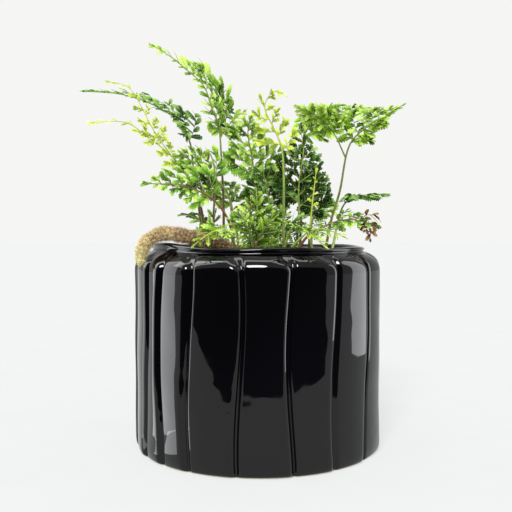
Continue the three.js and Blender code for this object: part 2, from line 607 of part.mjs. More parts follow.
const fern = new THREE.Group();
fern.add(mesh("pot", makePot(), { colour: 0x0b0a0c, roughness: 0.08 }));
const soil = solidOf(makeSoil()).subtract(makeRhizome(CLEARANCE)).subtract(holes);
fern.add(mesh("potting_mix", geometryOf(soil), { colour: 0x2b1f17, roughness: 0.95 }));
const rhizome = makeRhizome(0).subtract(holes);
fern.add(mesh("rhizome", geometryOf(rhizome), { colour: 0x9a6b3c, roughness: 0.9 }));
for (const [name, { leaf, solid }] of nodes) fern.add(mesh(name, geometryOf(solid), leaf));

export default fern;
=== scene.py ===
"""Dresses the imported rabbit's foot fern: a glossy black fluted pot, potting mix, a furry rhizome
and fronds of small lobed leaflets. Lengths are in millimetres until a mesh is made from them."""

import json
import math
from dataclasses import dataclass

import bpy
import numpy as np
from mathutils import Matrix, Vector

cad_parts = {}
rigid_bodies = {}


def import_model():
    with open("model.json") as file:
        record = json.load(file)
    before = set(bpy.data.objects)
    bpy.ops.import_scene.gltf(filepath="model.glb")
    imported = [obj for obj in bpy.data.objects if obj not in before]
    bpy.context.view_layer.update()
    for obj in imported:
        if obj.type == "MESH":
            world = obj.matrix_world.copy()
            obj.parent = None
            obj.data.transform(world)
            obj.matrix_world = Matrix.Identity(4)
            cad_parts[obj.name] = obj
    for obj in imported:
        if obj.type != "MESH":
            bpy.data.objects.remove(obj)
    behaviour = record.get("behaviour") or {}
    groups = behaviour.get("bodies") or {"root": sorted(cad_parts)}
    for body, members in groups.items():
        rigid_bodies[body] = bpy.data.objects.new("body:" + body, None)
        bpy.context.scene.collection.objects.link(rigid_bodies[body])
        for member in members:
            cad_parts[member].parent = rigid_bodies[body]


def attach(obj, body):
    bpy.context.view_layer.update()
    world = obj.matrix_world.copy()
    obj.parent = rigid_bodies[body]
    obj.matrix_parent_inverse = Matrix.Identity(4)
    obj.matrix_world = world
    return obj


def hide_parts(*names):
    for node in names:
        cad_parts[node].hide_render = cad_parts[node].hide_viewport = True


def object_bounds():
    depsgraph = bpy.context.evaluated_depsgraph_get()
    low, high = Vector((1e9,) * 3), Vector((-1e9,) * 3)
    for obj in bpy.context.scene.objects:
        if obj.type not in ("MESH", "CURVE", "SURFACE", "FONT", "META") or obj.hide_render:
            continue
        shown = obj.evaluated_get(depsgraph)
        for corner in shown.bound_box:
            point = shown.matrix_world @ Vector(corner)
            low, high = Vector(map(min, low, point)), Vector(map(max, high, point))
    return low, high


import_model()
cad_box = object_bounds()

MM = 0.001
UP = np.array([0.0, 0.0, 1.0])

# ---- Driving dimensions, in millimetres and degrees ------------------------------------------------

BODY_RADIUS = 59.7
GROOVE_DEPTH = 2.6
FLANK_WIDTH = 3.6  # from a panel's ridge down into the groove at its right
EDGE_WIDTH = 1.8  # from a groove up to the crisp left edge of the next panel
EDGE_DEPTH = 0.42  # how deep that edge lies, as a share of the groove's depth
PANEL_CORNER = 6.0  # rounding of a panel's upper right corner
PANEL_TOP = 92.0
GROOVES = (-79, -59.5, -47.5, -31, -8, 14, 35, 56, 75, 98, 121, 144, 166.5, 189.5, 212.5, 235,
           258)  # from the front, to the right
GROOVE_WANDER = 1.5
WANDER_LENGTH = 120
LIP_CREST = 2.4
LIP_CREST_AT = -60
LIP_START = 93.0
LIP_RISE = 2.5  # height over which the lip's unevenness fades in
FOOT_HEIGHT = 0.45
FOOT_ROWS = 20  # the bare foot lies within this many rows from the section's start
FLANK_CURVE = 2.3  # 1 is a straight flank, and more is rounder at its ridge
FACE_CURVE = 1.35  # the same for a panel's face
GLAZE_RIPPLE = 0.10
RIPPLE_CREST = 1.7  # the ripple's highest value, taken off so that it only ever sinks
WALL_STEP = 2.0  # height of one row of the wall
CURVE_STEP = 0.75  # length of one row round a curve
STRAIGHT_LENGTH = 8  # control points further apart than this are joined by a straight line

MOUTH_RADIUS = 46.5
SOIL_EDGE = 86.2
SOIL_MOUND = 3.6
SOIL_RADIUS = 49.6
SOIL_FOOT = (10, 82)  # the lowest ring of the bed, and where its wall ends
BED_COLUMNS = 120
BED_ROWS = 34
BED_MIDDLE = (0.4, 2.5)  # radii of the bed's two innermost rings
BED_FLARE = 1.06  # radius of the bed's hidden wall, as a share of its top's
BED_SINK = 0.9  # how far the bed lies below the solid's top, as room for the crumbs
BED_GRAIN = 0.14
CRUMBS = 900_000.0  # in a square metre
CRUMB_SIZES = (0.35, 1.5)
CRUMBS_ABOVE = 84
CRUMB_SQUASH = ((0.5, 0.35, 0.25), (1.0, 0.7, 0.5))  # least and most of a crumb's three sides
ANY_TURN = 3.1  # radians either way

RHIZOME_RADIUS = 3.1
RHIZOME_SIDES = 18
FUR_ROOM = 0.35  # what the fur takes of the rhizome's radius
HAIRS = 5_200_000.0  # in a square metre
HAIR_LENGTH = 1.8
HAIR_GIRTH = 0.10
HAIRS_ABOVE = 88.5
HAIR_TOSS = 0.75  # how far hairs lean away from standing upright on the skin
SHORTEST_HAIR = 0.45  # as a share of the longest
ROOT_GIRTHS = (0.26, 0.10)
ROOT_REACH = 45.0  # how far from the pot's middle loose roots stray
ROOT_KNOTS = 8
ROOT_STEP = 1.7  # between a root's knots
ROOT_SINK = 0.6  # how far the bed lies below the mix's top where roots are
ROOT_REST = 0.35  # how high a root's ends lie over the bed
ROOT_HOP = 1.3  # how much higher its middle may rise
ROOT_SIDES = 5

STAND = 7  # how high a stipe stands upright
STIPE_RADIUS = 0.72
STEM_SIDES = 6
RACHIS_SHARE = 0.6  # a stipe's girth at its first pinnae, as a share of its foot's
TIP_GIRTH = 0.14
RIB_RADIUS = 0.26
RIB_TIP = 0.08
RIB_GREENING = 0.5  # how brown a rib is at its tip, as a share of its root's brown
HOLE_DEPTH = 4.5  # how deep a stipe goes into the mix
STEM_STEP = 2.2  # between points along a stipe
RIB_STEP = 2.5  # between points along a rib
FULL_RIB = 18  # the reach from which ribs are of full girth
TIP_GREENING = 0.12  # how much less brown a rachis is at its tip
SHARP_ANGLE = 55  # edges over this angle stay sharp

PINNA_SPREAD = 62  # from the rachis to the lowest pinnae, unless a spray gives its own
LAST_SPREAD = 40  # from the rachis to the highest pinnae
LEFT_LAG = 0.35  # how far each left pinna sits past its right one, as a share of their pitch
FIRST_PINNA = 0.1  # where the first right pinna sits, as a share of the pitch
LENGTH_CHANCE = 0.14  # how much the pinnae differ in length
PINNA_WIDTH = 0.62  # greatest width of a pinna, as a share of its length
TIP_SHARE = 0.14  # the share of a blade past its last pinnae
TIP_OVERLAP = 1.1  # length of the leafy tip, as a share of that
PINNA_BOW = 0.12  # how far the pinnae bow forwards
WAVE = 0.09  # ripple of the pinnae, as a share of their reach
WAVE_RATE = 0.55  # radians of ripple for each millimetre along the rachis
WHOLE_PINNA = 4.5  # a pinna up to this long is one toothed leaflet, unless a spray gives its own
WHOLE_WIDTH = 0.46  # width of such a pinna, as a share of its length
WHOLE_LENGTH = 1.04  # length of its leaflet, as a share of its own

RIB_SHARE = 0.94  # how much of a pinna's reach its rib runs
FIRST_LEAFLETS = (0.15, 0.6)  # where the first leaflets of a rib's two sides sit, in pitches
LAST_LEAFLETS = 0.8  # room left between the last ones and the rib's end
FINEST_PITCH = 2.1  # between leaflets on a rib
WIDEST_PITCH = 3.5
PITCHES = 5.0  # leaflets on each side of a rib of middling length
FORWARD = 1.35  # how far a leaflet's tip lies ahead of its root, as a share of the pitch
OVERLAP = 1.45  # a leaflet's width, as a share of the room beside its rib
LEAFLET_BREADTH = 0.62  # a leaflet's greatest width, as a share of its length
SHORTEST = 1.2  # reach of the shortest leaflets
PINNA_BREADTH = 1.35  # how far a pinna's leaflets reach over its room, into its neighbours'
DIVIDED_LENGTH = 9.0  # leaflets over this length are divided again
SIDE_MARGIN = 1.3  # how far inside the solids' box a leaflet's middle line stays
LIGHTWARD = np.array([0.05, -0.42, 0.5])  # how leaflets turn their faces to the light
END_PITCHES = 1.9  # length of the leaflet at a rib's end, in pitches
END_SHARE = 0.4  # and at most this share of the rib
END_BREADTH = 0.6  # its width, as a share of its length
END_STRETCH = 1.05  # how much longer it's made, to reach past the rib's end
TIP_DROP = 0.04  # how far a leaflet's tip sinks below its face, as a share of its length
DIVIDED_HALF = 0.26  # how far a divided leaflet's own leaflets reach, as a share of its length
# How much leaflets differ: in their pitch and reach as shares of the usual, in the lean of their middle
# line in radians, in their face's turn, in how far their tip curls as a share of their length, and
# in their light, from leaflet to leaflet and from pinna to pinna.
LEAST_PITCH, PITCH_CHANCE = 0.93, 0.14
LEAST_REACH, REACH_CHANCE = 0.82, 0.34
LEAN_CHANCE = 0.17
TURN_CHANCE = 0.13
CURL_CHANCE = 0.06
SHADE_CHANCE = 0.21
PINNA_SHADE_CHANCE = 0.10
TIP_LIGHTENING = 0.14  # how much lighter a blade's highest pinnae are than its lowest
CROWN_LIGHTENING = 0.1  # and how much lighter its tip is than its middle
DARKEST = 0.02  # the least light, which also tells a leaflet from a stem
REACH_LOW = np.array(cad_box[0]) / MM + SIDE_MARGIN
REACH_HIGH = np.array(cad_box[1]) / MM - SIDE_MARGIN

LENS = 53.2
CAMERA_PLACE = (-1, -370, 104.4)
CAMERA_DIP = 2.02  # below level
ROOM_LIGHT = 0.6  # what the room sheds
BACKDROP = 0.918  # how bright the room looks
FLOOR_RADIUS = 6000
FLOOR_DROP = 0.05
COOL = (0.97, 0.98, 1.0)
COLD = (0.93, 0.96, 1.0)


# ---- Small helpers ---------------------------------------------------------------------------------


def chance(seed, count):
    """The same repeatable noise from 0 to 1 that the solids use."""
    wave = math.sin(seed * 12.9898 + count * 78.233) * 437.585
    return wave - math.floor(wave)


def unit(vectors):
    """The same directions, one long."""
    length = np.linalg.norm(vectors, axis=-1, keepdims=True)
    return vectors / np.maximum(length, 1e-9)


def smooth_step(low, high, value):
    """From 0 to 1, without a kink, as the value goes from low to high."""
    share = np.clip((value - low) / (high - low), 0.0, 1.0)
    return share * share * (3.0 - 2.0 * share)


def bend(share, start, leaving, end, arriving):
    """Points from start to end on a curve that leaves and arrives along two slopes."""
    square, cube = share**2, share**3
    return ((2 * cube - 3 * square + 1) * start + (cube - 2 * square + share) * leaving
            + (3 * square - 2 * cube) * end + (cube - square) * arriving)


def padded(points):
    """The points, with one more at each end straight on."""
    return np.vstack([2 * points[0] - points[1], points, 2 * points[-1] - points[-2]])


def soil_top(x, y):
    """Height of the potting mix: a low mound with lumps on it, as in the solids."""
    share = np.hypot(x, y) / MOUTH_RADIUS
    lumps = 0.5 * np.sin(0.31 * x + 1) * np.sin(0.27 * y) + 0.35 * np.sin(0.5 * x - 0.43 * y)
    return SOIL_EDGE + 0.4 + SOIL_MOUND * np.maximum(0, 1 - share**2) + np.where(share < 1, lumps, 0)


def link(name, mesh):
    piece = bpy.data.objects.new(name, mesh)
    bpy.context.scene.collection.objects.link(piece)
    return piece


def smooth(mesh):
    mesh.polygons.foreach_set("use_smooth", np.ones(len(mesh.polygons), dtype=bool))


def mesh_from(name, points, faces, materials=(), face_material=None):
    """A smooth-shaded mesh from points in millimetres."""
    mesh = bpy.data.meshes.new(name)
    mesh.from_pydata((np.asarray(points, dtype=float) * MM).tolist(), [], [list(face) for face in faces])
    for material in materials:
        mesh.materials.append(material)
    if face_material is not None:
        mesh.polygons.foreach_set("material_index", np.asarray(face_material, dtype=np.int32))
    smooth(mesh)
    mesh.update()
    return mesh


def closed_rings(points, columns):
    """Rows of closed rings with a centre point added at each end, and the faces over them all."""
    rows = len(points) // columns
    row = np.arange(rows - 1)[:, None] * columns
    here = np.arange(columns)[None, :]
    there = (here + 1) % columns
    quads = np.stack([row + here, row + there, row + columns + there, row + columns + here], axis=-1)
    faces = list(quads.reshape(-1, 4))
    for first, turned in ((0, False), ((rows - 1) * columns, True)):
        hub = len(points)
        points = np.vstack([points, points[first : first + columns].mean(axis=0)])
        numbers = first + np.arange(columns)
        after = np.roll(numbers, -1)
        pair = (numbers, after) if turned else (after, numbers)
        faces.extend(np.stack([*pair, np.full(columns, hub)], axis=-1))
    return points, faces


def carry(mesh, name, values):
    """Stores a flag, a number or a vector for each of a mesh's points."""
    values = np.asarray(values)
    if values.ndim > 1:
        kind, field = "FLOAT_VECTOR", "vector"
    else:
        kind, field = {"b": "BOOLEAN", "i": "INT", "f": "FLOAT"}[values.dtype.kind], "value"
    mesh.attributes.new(name, kind, "POINT").data.foreach_set(field, values.ravel())


def line_mesh(name, lines, age, loose=()):
    """Edges along lines, given as (points, girths, ages), and then loose points. `age` is what the
    mesh calls the ages of the lines' points."""
    points, edges, girths, ages = [], [], [], []
    for line, line_girths, line_ages in lines:
        edges.extend((len(points) + step, len(points) + step + 1) for step in range(len(line) - 1))
        points.extend(line)
        girths.extend(line_girths)
        ages.extend(line_ages)
    mesh = bpy.data.meshes.new(name)
    mesh.from_pydata((np.array([*points, *loose]) * MM).tolist(), edges, [])
    blank = [0.0] * len(loose)
    carry(mesh, "girth", np.array(girths + blank) * MM)
    carry(mesh, age, ages + blank)
    return mesh


class Nodes:
    """A node group that is built up in short steps."""

    def __init__(self, group):
        self.group = group

    def feed(self, socket, value):
        """Joins another socket to this one, or gives it a plain value."""
        if isinstance(value, bpy.types.NodeSocket):
            self.group.links.new(value, socket)
        else:
            socket.default_value = value

    def node(self, kind, inputs=(), **settings):
        """A node with its settings, and its inputs either joined or given a value."""
        made = self.group.nodes.new(kind)
        for name, value in settings.items():
            setattr(made, name, value)
        for name, value in dict(inputs).items():
            self.feed(made.inputs[name], value)
        return made

    def math(self, operation, first, second=0.0):
        return self.node("ShaderNodeMath", {0: first, 1: second}, operation=operation).outputs[0]

    def plus(self, first, second):
        return self.math("ADD", first, second)

    def times(self, first, second):
        return self.math("MULTIPLY", first, second)


# ---- Materials -------------------------------------------------------------------------------------


class Finish(Nodes):
    """One material: a principled shader and what drives it."""

    def __init__(self, name):
        self.material = bpy.data.materials.new(name)
        self.material.use_nodes = True
        super().__init__(self.material.node_tree)
        self.group.nodes.clear()
        self.surface = self.node("ShaderNodeOutputMaterial").inputs["Surface"]
        self.shader = self.node("ShaderNodeBsdfPrincipled")
        self.feed(self.surface, self.shader.outputs[0])
        self.place = self.node("ShaderNodeTexCoord").outputs["Object"]

    def noise(self, scale, detail=3.0, roughness=0.55):
        """A noise pattern fixed to the piece."""
        values = {"Vector": self.place, "Scale": scale, "Detail": detail, "Roughness": roughness}
        return self.node("ShaderNodeTexNoise", values).outputs["Fac"]

    def attribute(self, name):
        return self.node("ShaderNodeAttribute", attribute_name=name).outputs["Fac"]

    def ramp(self, factor, *stops):
        """Colours along a factor, from (place, colour) stops."""
        made = self.node("ShaderNodeValToRGB", {"Fac": factor})
        elements = made.color_ramp.elements
        while len(elements) < len(stops):
            elements.new(0.5)
        for element, (place, colour) in zip(elements, stops):
            element.position = place
            element.color = (*colour, 1.0)
        return made.outputs["Color"]

    def span(self, factor, low, high, start=0.0, end=1.0):
        """From low to high as the factor goes from start to end."""
        values = {"Value": factor, "From Min": start, "From Max": end, "To Min": low, "To Max": high}
        return self.node("ShaderNodeMapRange", values).outputs["Result"]

    def blend(self, factor, first, second, kind="MIX"):
        """Two colours mixed by a factor."""
        values = {0: factor, 6: first, 7: second}
        return self.node("ShaderNodeMix", values, data_type="RGBA", blend_type=kind).outputs[2]

    def bump(self, height, distance, strength, **under):
        """A normal from a height, on top of another given as Normal."""
        values = {"Height": height, "Distance": distance * MM, "Strength": strength, **under}
        return self.node("ShaderNodeBump", values).outputs["Normal"]

    def coat(self, colour, **values):
        """Gives the shader its colour and other values, and returns the finished material."""
        for name, value in {"Base Color": colour, **values}.items():
            self.feed(self.shader.inputs[name.replace("_", " ")], value)
        return self.material


def grained(name, grain, *stops, bump=None, **values):
    """The material of a finish whose colour, and bump where it has one, follow a single grain."""
    finish = Finish(name)
    height = finish.noise(*grain)
    if bump:
        values["Normal"] = finish.bump(height, *bump)
    return finish.coat(finish.ramp(height, *stops), **values)


def glaze_finish():
    """Deep black mirror glaze, softly rippled and smeared, with small pinholes."""
    finish = Finish("black_glaze")
    black, lighter = (0.0008, 0.0007, 0.0012), (0.0022, 0.0020, 0.0030)
    colour = finish.ramp(finish.noise(9, 2), (0.3, black), (0.75, lighter))
    smear = finish.span(finish.noise(150, 4, 0.65), 0.02, 0.075, 0.35, 0.8)
    grain = finish.node("ShaderNodeTexVoronoi", {"Vector": finish.place, "Scale": 190.0})
    holes = finish.span(grain.outputs["Distance"], 0.0, 1.0, 0.02, 0.10)
    ripple = finish.bump(finish.noise(42, 2, 0.45), 0.6, 0.9)
    normal = finish.bump(holes, 0.05, 0.25, Normal=ripple)
    return finish.coat(colour, Roughness=smear, IOR=1.41, Normal=normal)


def bisque_finish():
    """The bare cream clay of the foot, fine and dry."""
    return grained("bare_clay", (900, 4, 0.7), (0.3, (0.52, 0.44, 0.33)), (0.7, (0.72, 0.65, 0.52)),
                   bump=(0.15, 0.6), Roughness=0.85)


def mix_finish():
    """Damp dark compost. `tint` differs from crumb to crumb, and where it is high they are paler."""
    finish = Finish("potting_compost")
    coarse = finish.noise(260, 6, 0.7)
    damp = finish.ramp(coarse, (0.3, (0.010, 0.006, 0.004)), (0.55, (0.045, 0.026, 0.014)),
                       (0.8, (0.12, 0.075, 0.04)))
    paleness = finish.span(finish.attribute("tint"), 0.0, 0.75, 0.6, 1.0)
    colour = finish.blend(paleness, damp, (0.24, 0.15, 0.08, 1.0))
    return finish.coat(colour, Roughness=0.92, Normal=finish.bump(coarse, 1.2, 0.9))


def root_finish():
    """Dry, wiry brown roots."""
    return grained("dry_root", (420, 4, 0.6), (0.3, (0.05, 0.022, 0.01)), (0.7, (0.25, 0.13, 0.06)),
                   bump=(0.1, 0.5), Roughness=0.7)


def rhizome_finish(name, dark, light):
    """Matted felt of straw and brown that pales to cream towards the growing tip, with a little
    green at its end. `ripe` is 1 at the old end, and `tint` differs from hair to hair."""
    finish = Finish(name)
    ripe = finish.attribute("ripe")
    speck = finish.noise(900, 3, 0.7)
    mixed = finish.plus(finish.times(speck, 0.7), finish.times(finish.noise(150, 3, 0.6), 0.3))
    tint = finish.times(finish.attribute("tint"), 0.55)
    drawn = finish.plus(finish.span(mixed, -0.1, 0.6, 0.38, 0.62), tint)
    old = finish.ramp(drawn, (0.05, dark), (0.5, (0.33, 0.18, 0.06)), (0.9, light))
    young = finish.ramp(drawn, (0.05, (0.24, 0.16, 0.05)), (0.4, (0.66, 0.53, 0.25)),
                        (0.9, (0.95, 0.88, 0.58)))
    aged = finish.blend(finish.span(ripe, 1.0, 0.0, 0.12, 0.62), old, young)
    colour = finish.blend(finish.span(ripe, 0.45, 0.0, 0.02, 0.16), aged, (0.62, 0.66, 0.26, 1.0))
    return finish.coat(colour, Roughness=0.85, Sheen_Weight=0.25, Sheen_Roughness=0.5,
                       Normal=finish.bump(speck, 0.5, 0.9))


def stem_finish():
    """Wiry stipes and ribs, from yellow-green over olive to red-brown as `brown` goes from 0 to 1."""
    finish = Finish("stem")
    streak = finish.noise(380, 3, 0.6)
    browning = finish.plus(finish.attribute("brown"), finish.span(streak, -0.12, 0.12, 0.3, 0.7))
    colour = finish.ramp(browning, (0.0, (0.42, 0.50, 0.06)), (0.25, (0.20, 0.30, 0.035)),
                         (0.5, (0.12, 0.12, 0.022)), (0.75, (0.17, 0.055, 0.018)),
                         (1.0, (0.07, 0.018, 0.010)))
    return finish.coat(colour, Roughness=0.38, Sheen_Weight=0.1, Normal=finish.bump(streak, 0.08, 0.5))


def leaf_finish(name, deep, main, bright, glow, gloss):
    """A thin satin leaflet: mottled colour, a pale midrib and side veins, painted shade towards its base
    and a painted highlight towards its tip, and light through it.

    The map's u runs across a leaflet and its v from base to tip; `shade` differs from one
    leaflet to the next. Deep, main and bright are its colours, glow what shines through it and
    gloss its roughness.
    """
    finish = Finish(f"leaf_{name}")
    spot = finish.node("ShaderNodeUVMap", uv_map="leaf").outputs[0]
    split = finish.node("ShaderNodeSeparateXYZ", {0: spot}).outputs
    across = finish.math("ABSOLUTE", finish.math("SUBTRACT", split["X"], 0.5))
    along = split["Y"]
    mottle = finish.noise(210, 3, 0.6)
    # Painted light: each leaflet is darkened towards its base, as painted shade where its neighbours
    # overlap it, and lightened towards its tip, as a painted highlight.
    light = finish.plus(finish.times(finish.attribute("shade"), 0.85), finish.span(along, -0.30, 0.34))
    tone = finish.plus(light, finish.span(mottle, -0.18, 0.18, 0.3, 0.7))
    colour = finish.ramp(tone, (0.16, deep), (0.52, main), (0.90, bright))
    slant = finish.math("SUBTRACT", along, finish.times(across, 0.9))
    comb = finish.math("SINE", finish.times(slant, 44.0))
    vein = finish.times(finish.span(comb, 0.0, 1.0, 0.72, 1.0), 0.45)
    lines = finish.math("MAXIMUM", finish.span(across, 1.0, 0.0, 0.0, 0.055), vein)
    veined = finish.blend(finish.times(lines, 0.55), colour, (*bright, 1.0))
    normal = finish.bump(finish.plus(finish.times(lines, -0.6), finish.times(mottle, 0.5)), 0.22, 0.7)
    lit = finish.blend(0.75, veined, (*glow, 1.0), "MULTIPLY")
    through = finish.node("ShaderNodeBsdfTranslucent", {"Color": lit, "Normal": normal}).outputs[0]
    both = finish.node("ShaderNodeMixShader", {0: 0.36, 1: finish.shader.outputs[0], 2: through})
    finish.feed(finish.surface, both.outputs[0])
    return finish.coat(veined, Roughness=gloss, Specular_IOR_Level=0.09, Normal=normal)


GLAZE = glaze_finish()
BISQUE = bisque_finish()
COMPOST = mix_finish()
ROOT = root_finish()
FELT = rhizome_finish("rhizome_skin", (0.020, 0.008, 0.003), (0.40, 0.24, 0.09))
FUR = rhizome_finish("rhizome_fur", (0.055, 0.022, 0.006), (0.84, 0.62, 0.30))
STEM = stem_finish()
# Deep, main and bright colour, what shines through, and the gloss. Bright is the pale colour of the veins
# and also of the painted highlight at the leaflets' tips.
LEAF_LOOKS = {
    "mature": ((0.009, 0.056, 0.001), (0.170, 0.440, 0.012), (0.78, 0.97, 0.26), (1.0, 1.0, 0.14), 0.34),
    "dark": ((0.001, 0.010, 0.001), (0.015, 0.102, 0.004), (0.46, 0.74, 0.18), (0.75, 1.0, 0.18), 0.34),
    "young": ((0.26, 0.42, 0.010), (0.76, 0.88, 0.060), (1.0, 1.0, 0.48), (1.0, 1.0, 0.30), 0.42),
    "fresh": ((0.018, 0.092, 0.001), (0.210, 0.430, 0.005), (0.74, 0.95, 0.24), (1.0, 1.0, 0.15), 0.34),
    "withered": ((0.07, 0.028, 0.006), (0.30, 0.165, 0.045), (0.80, 0.60, 0.26), (1.0, 0.85, 0.5), 0.6),
}
LEAVES = {name: leaf_finish(name, *looks) for name, looks in LEAF_LOOKS.items()}

# ---- Pot -------------------------------------------------------------------------------------------

# Control points of the pot's section, from the foot up the wall, over the lip and down inside:
# radius, height, and how deep the grooves are there.
OUTER_SECTION = (
    (53.0, 0.9, 0.0), (53.6, 0.1, 0.0), (55.5, 0.0, 0.1), (57.6, 0.1, 0.3), (57.8, 0.45, 0.35),
    (58.4, 0.65, 0.5), (59.1, 1.3, 0.8), (59.5, 2.6, 1.0), (BODY_RADIUS, 5.0, 1.0),
    (BODY_RADIUS, 12, 1.0), (BODY_RADIUS, 40, 1.0), (BODY_RADIUS, 70, 1.0), (BODY_RADIUS, 84.0, 1.0),
    (59.5, 87.0, 1.0), (58.8, 89.4, 1.0), (57.2, 91.3, 0.9), (54.6, 92.8, 0.55), (52.3, 93.6, 0.15),
    (51.0, 94.1, 0.0), (51.1, 94.7, 0.0), (51.6, 95.1, 0.0), (51.5, 95.7, 0.0), (50.7, 96.2, 0.0),
    (49.5, 96.4, 0.0), (48.0, 96.2, 0.0), (47.0, 95.4, 0.0), (46.6, 94.0, 0.0), (47.2, 91.5, 0.0),
    (49.6, 87.5, 0.0), (53.0, 84.0, 0.0), (54.0, 80.0, 0.0), (54.0, 10.0, 0.0), (52.0, 6.8, 0.0),
    (48.0, 6.0, 0.0),
)
# Where the columns of a panel stand, as shares of its width, closest at the groove's two sides.
PANEL_COLUMNS = (0, 0.02, 0.045, 0.075, 0.11, 0.16, 0.24, 0.34, 0.45, 0.56, 0.66, 0.74, 0.80, 0.84, 0.87,
                 0.90, 0.925, 0.95, 0.975)


def held_slope(start, end, length):
    """Half the way between two points, kept short enough for a curve of this length."""
    slope = (end - start) / 2
    return slope * min(1.0, 1.5 * length / max(1e-6, np.linalg.norm(slope[:2])))


def pot_section():
    """A smooth line through the control points, straight where they lie far apart."""
    controls = np.array(OUTER_SECTION, dtype=float)
    around = padded(controls)
    rows = []
    for index in range(len(controls) - 1):
        before, start, end, after = around[index : index + 4]
        length = np.linalg.norm(end[:2] - start[:2])
        upright = abs(end[0] - start[0]) < 0.6 and abs(end[1] - start[1]) > 3
        count = max(1, math.ceil(length / (WALL_STEP if upright else CURVE_STEP)))
        share = (np.arange(count) / count)[:, None]
        if length > STRAIGHT_LENGTH:
            rows.append(start + (end - start) * share)
        else:
            slopes = held_slope(before, end, length), held_slope(start, after, length)
            rows.append(bend(share, start, slopes[0], end, slopes[1]))
    rows.append(controls[-1:])
    return np.vstack(rows)


def groove_angles(heights):
    """Each groove's angle in degrees at each height, with the first groove repeated at the end."""
    number = np.arange(len(GROOVES))
    phase = math.pi + 1.2 * np.sin(2.1 * number)
    stray = GROOVE_WANDER * np.sin(2 * math.pi * heights[:, None] / WANDER_LENGTH + phase[None, :])
    angles = np.array(GROOVES)[None, :] + stray
    return np.hstack([angles, angles[:, :1] + 360])


def panel_depth(share, width, heights):
    """How deep the surface lies at a share of a panel's width: 1 in the grooves, 0 on the ridge."""
    from_left = share * width
    from_right = (1 - share) * width
    below_top = np.maximum(0, PANEL_TOP - heights)
    past_side = PANEL_CORNER - np.minimum(from_right, PANEL_CORNER)
    past_top = PANEL_CORNER - np.minimum(below_top, PANEL_CORNER)
    in_corner = (past_side > 0) & (past_top > 0)
    rounded = np.maximum(0, PANEL_CORNER - np.hypot(past_side, past_top))
    edge = np.where(in_corner, rounded, from_right)
    flank = np.clip(1 - edge / FLANK_WIDTH, 0, 1) ** FLANK_CURVE
    rise = 1 - smooth_step(0, EDGE_WIDTH, from_left)
    climb = np.clip((share - 0.05) / 0.80, 0, 1)
    face = EDGE_DEPTH * (1 - climb) ** FACE_CURVE
    return np.maximum(face + (1 - face) * rise, flank)


def pot_points(section):
    """The section swept round the pot, with its grooves, ripples and hand-made lip."""
    radius, tall, grooved = (section[:, axis, None, None] for axis in range(3))
    grooves = groove_angles(section[:, 1])
    shares = np.array(PANEL_COLUMNS)[None, None, :]
    start, end = grooves[:, :-1, None], grooves[:, 1:, None]
    angle = np.radians(start + (end - start) * shares)
    width = np.radians(end - start) * BODY_RADIUS
    radius = radius - GROOVE_DEPTH * grooved * panel_depth(shares, width, tall)
    ripple = np.sin(0.17 * tall + 5 * angle) + 0.7 * np.sin(0.09 * tall - 3 * angle)
    radius = radius + GLAZE_RIPPLE * grooved * (ripple - RIPPLE_CREST)
    crest = LIP_CREST * np.maximum(0, np.cos(angle - math.radians(LIP_CREST_AT))) ** 12
    wobble = 0.25 * np.sin(3 * angle + 1) + 0.2 * np.sin(7 * angle)
    height = tall + smooth_step(LIP_START, LIP_START + LIP_RISE, tall) * (crest + wobble)
    points = np.stack([radius * np.sin(angle), -radius * np.cos(angle), height + 0 * angle], axis=-1)
    return points.reshape(-1, 3)


def make_pot():
    """The glazed pot, closed under its recessed foot and over its inner floor."""
    section = pot_section()
    columns = len(GROOVES) * len(PANEL_COLUMNS)
    points, faces = closed_rings(pot_points(section), columns)
    bare = section[:-1, 1] < FOOT_HEIGHT
    bare[FOOT_ROWS:] = False
    kinds = np.concatenate([np.repeat(bare, columns), np.ones(columns), np.zeros(columns)])
    pot = link("glazed_pot", mesh_from("glazed_pot", points, faces, (GLAZE, BISQUE), kinds))
    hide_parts("pot")
    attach(pot, "root")


# ---- Geometry Nodes --------------------------------------------------------------------------------


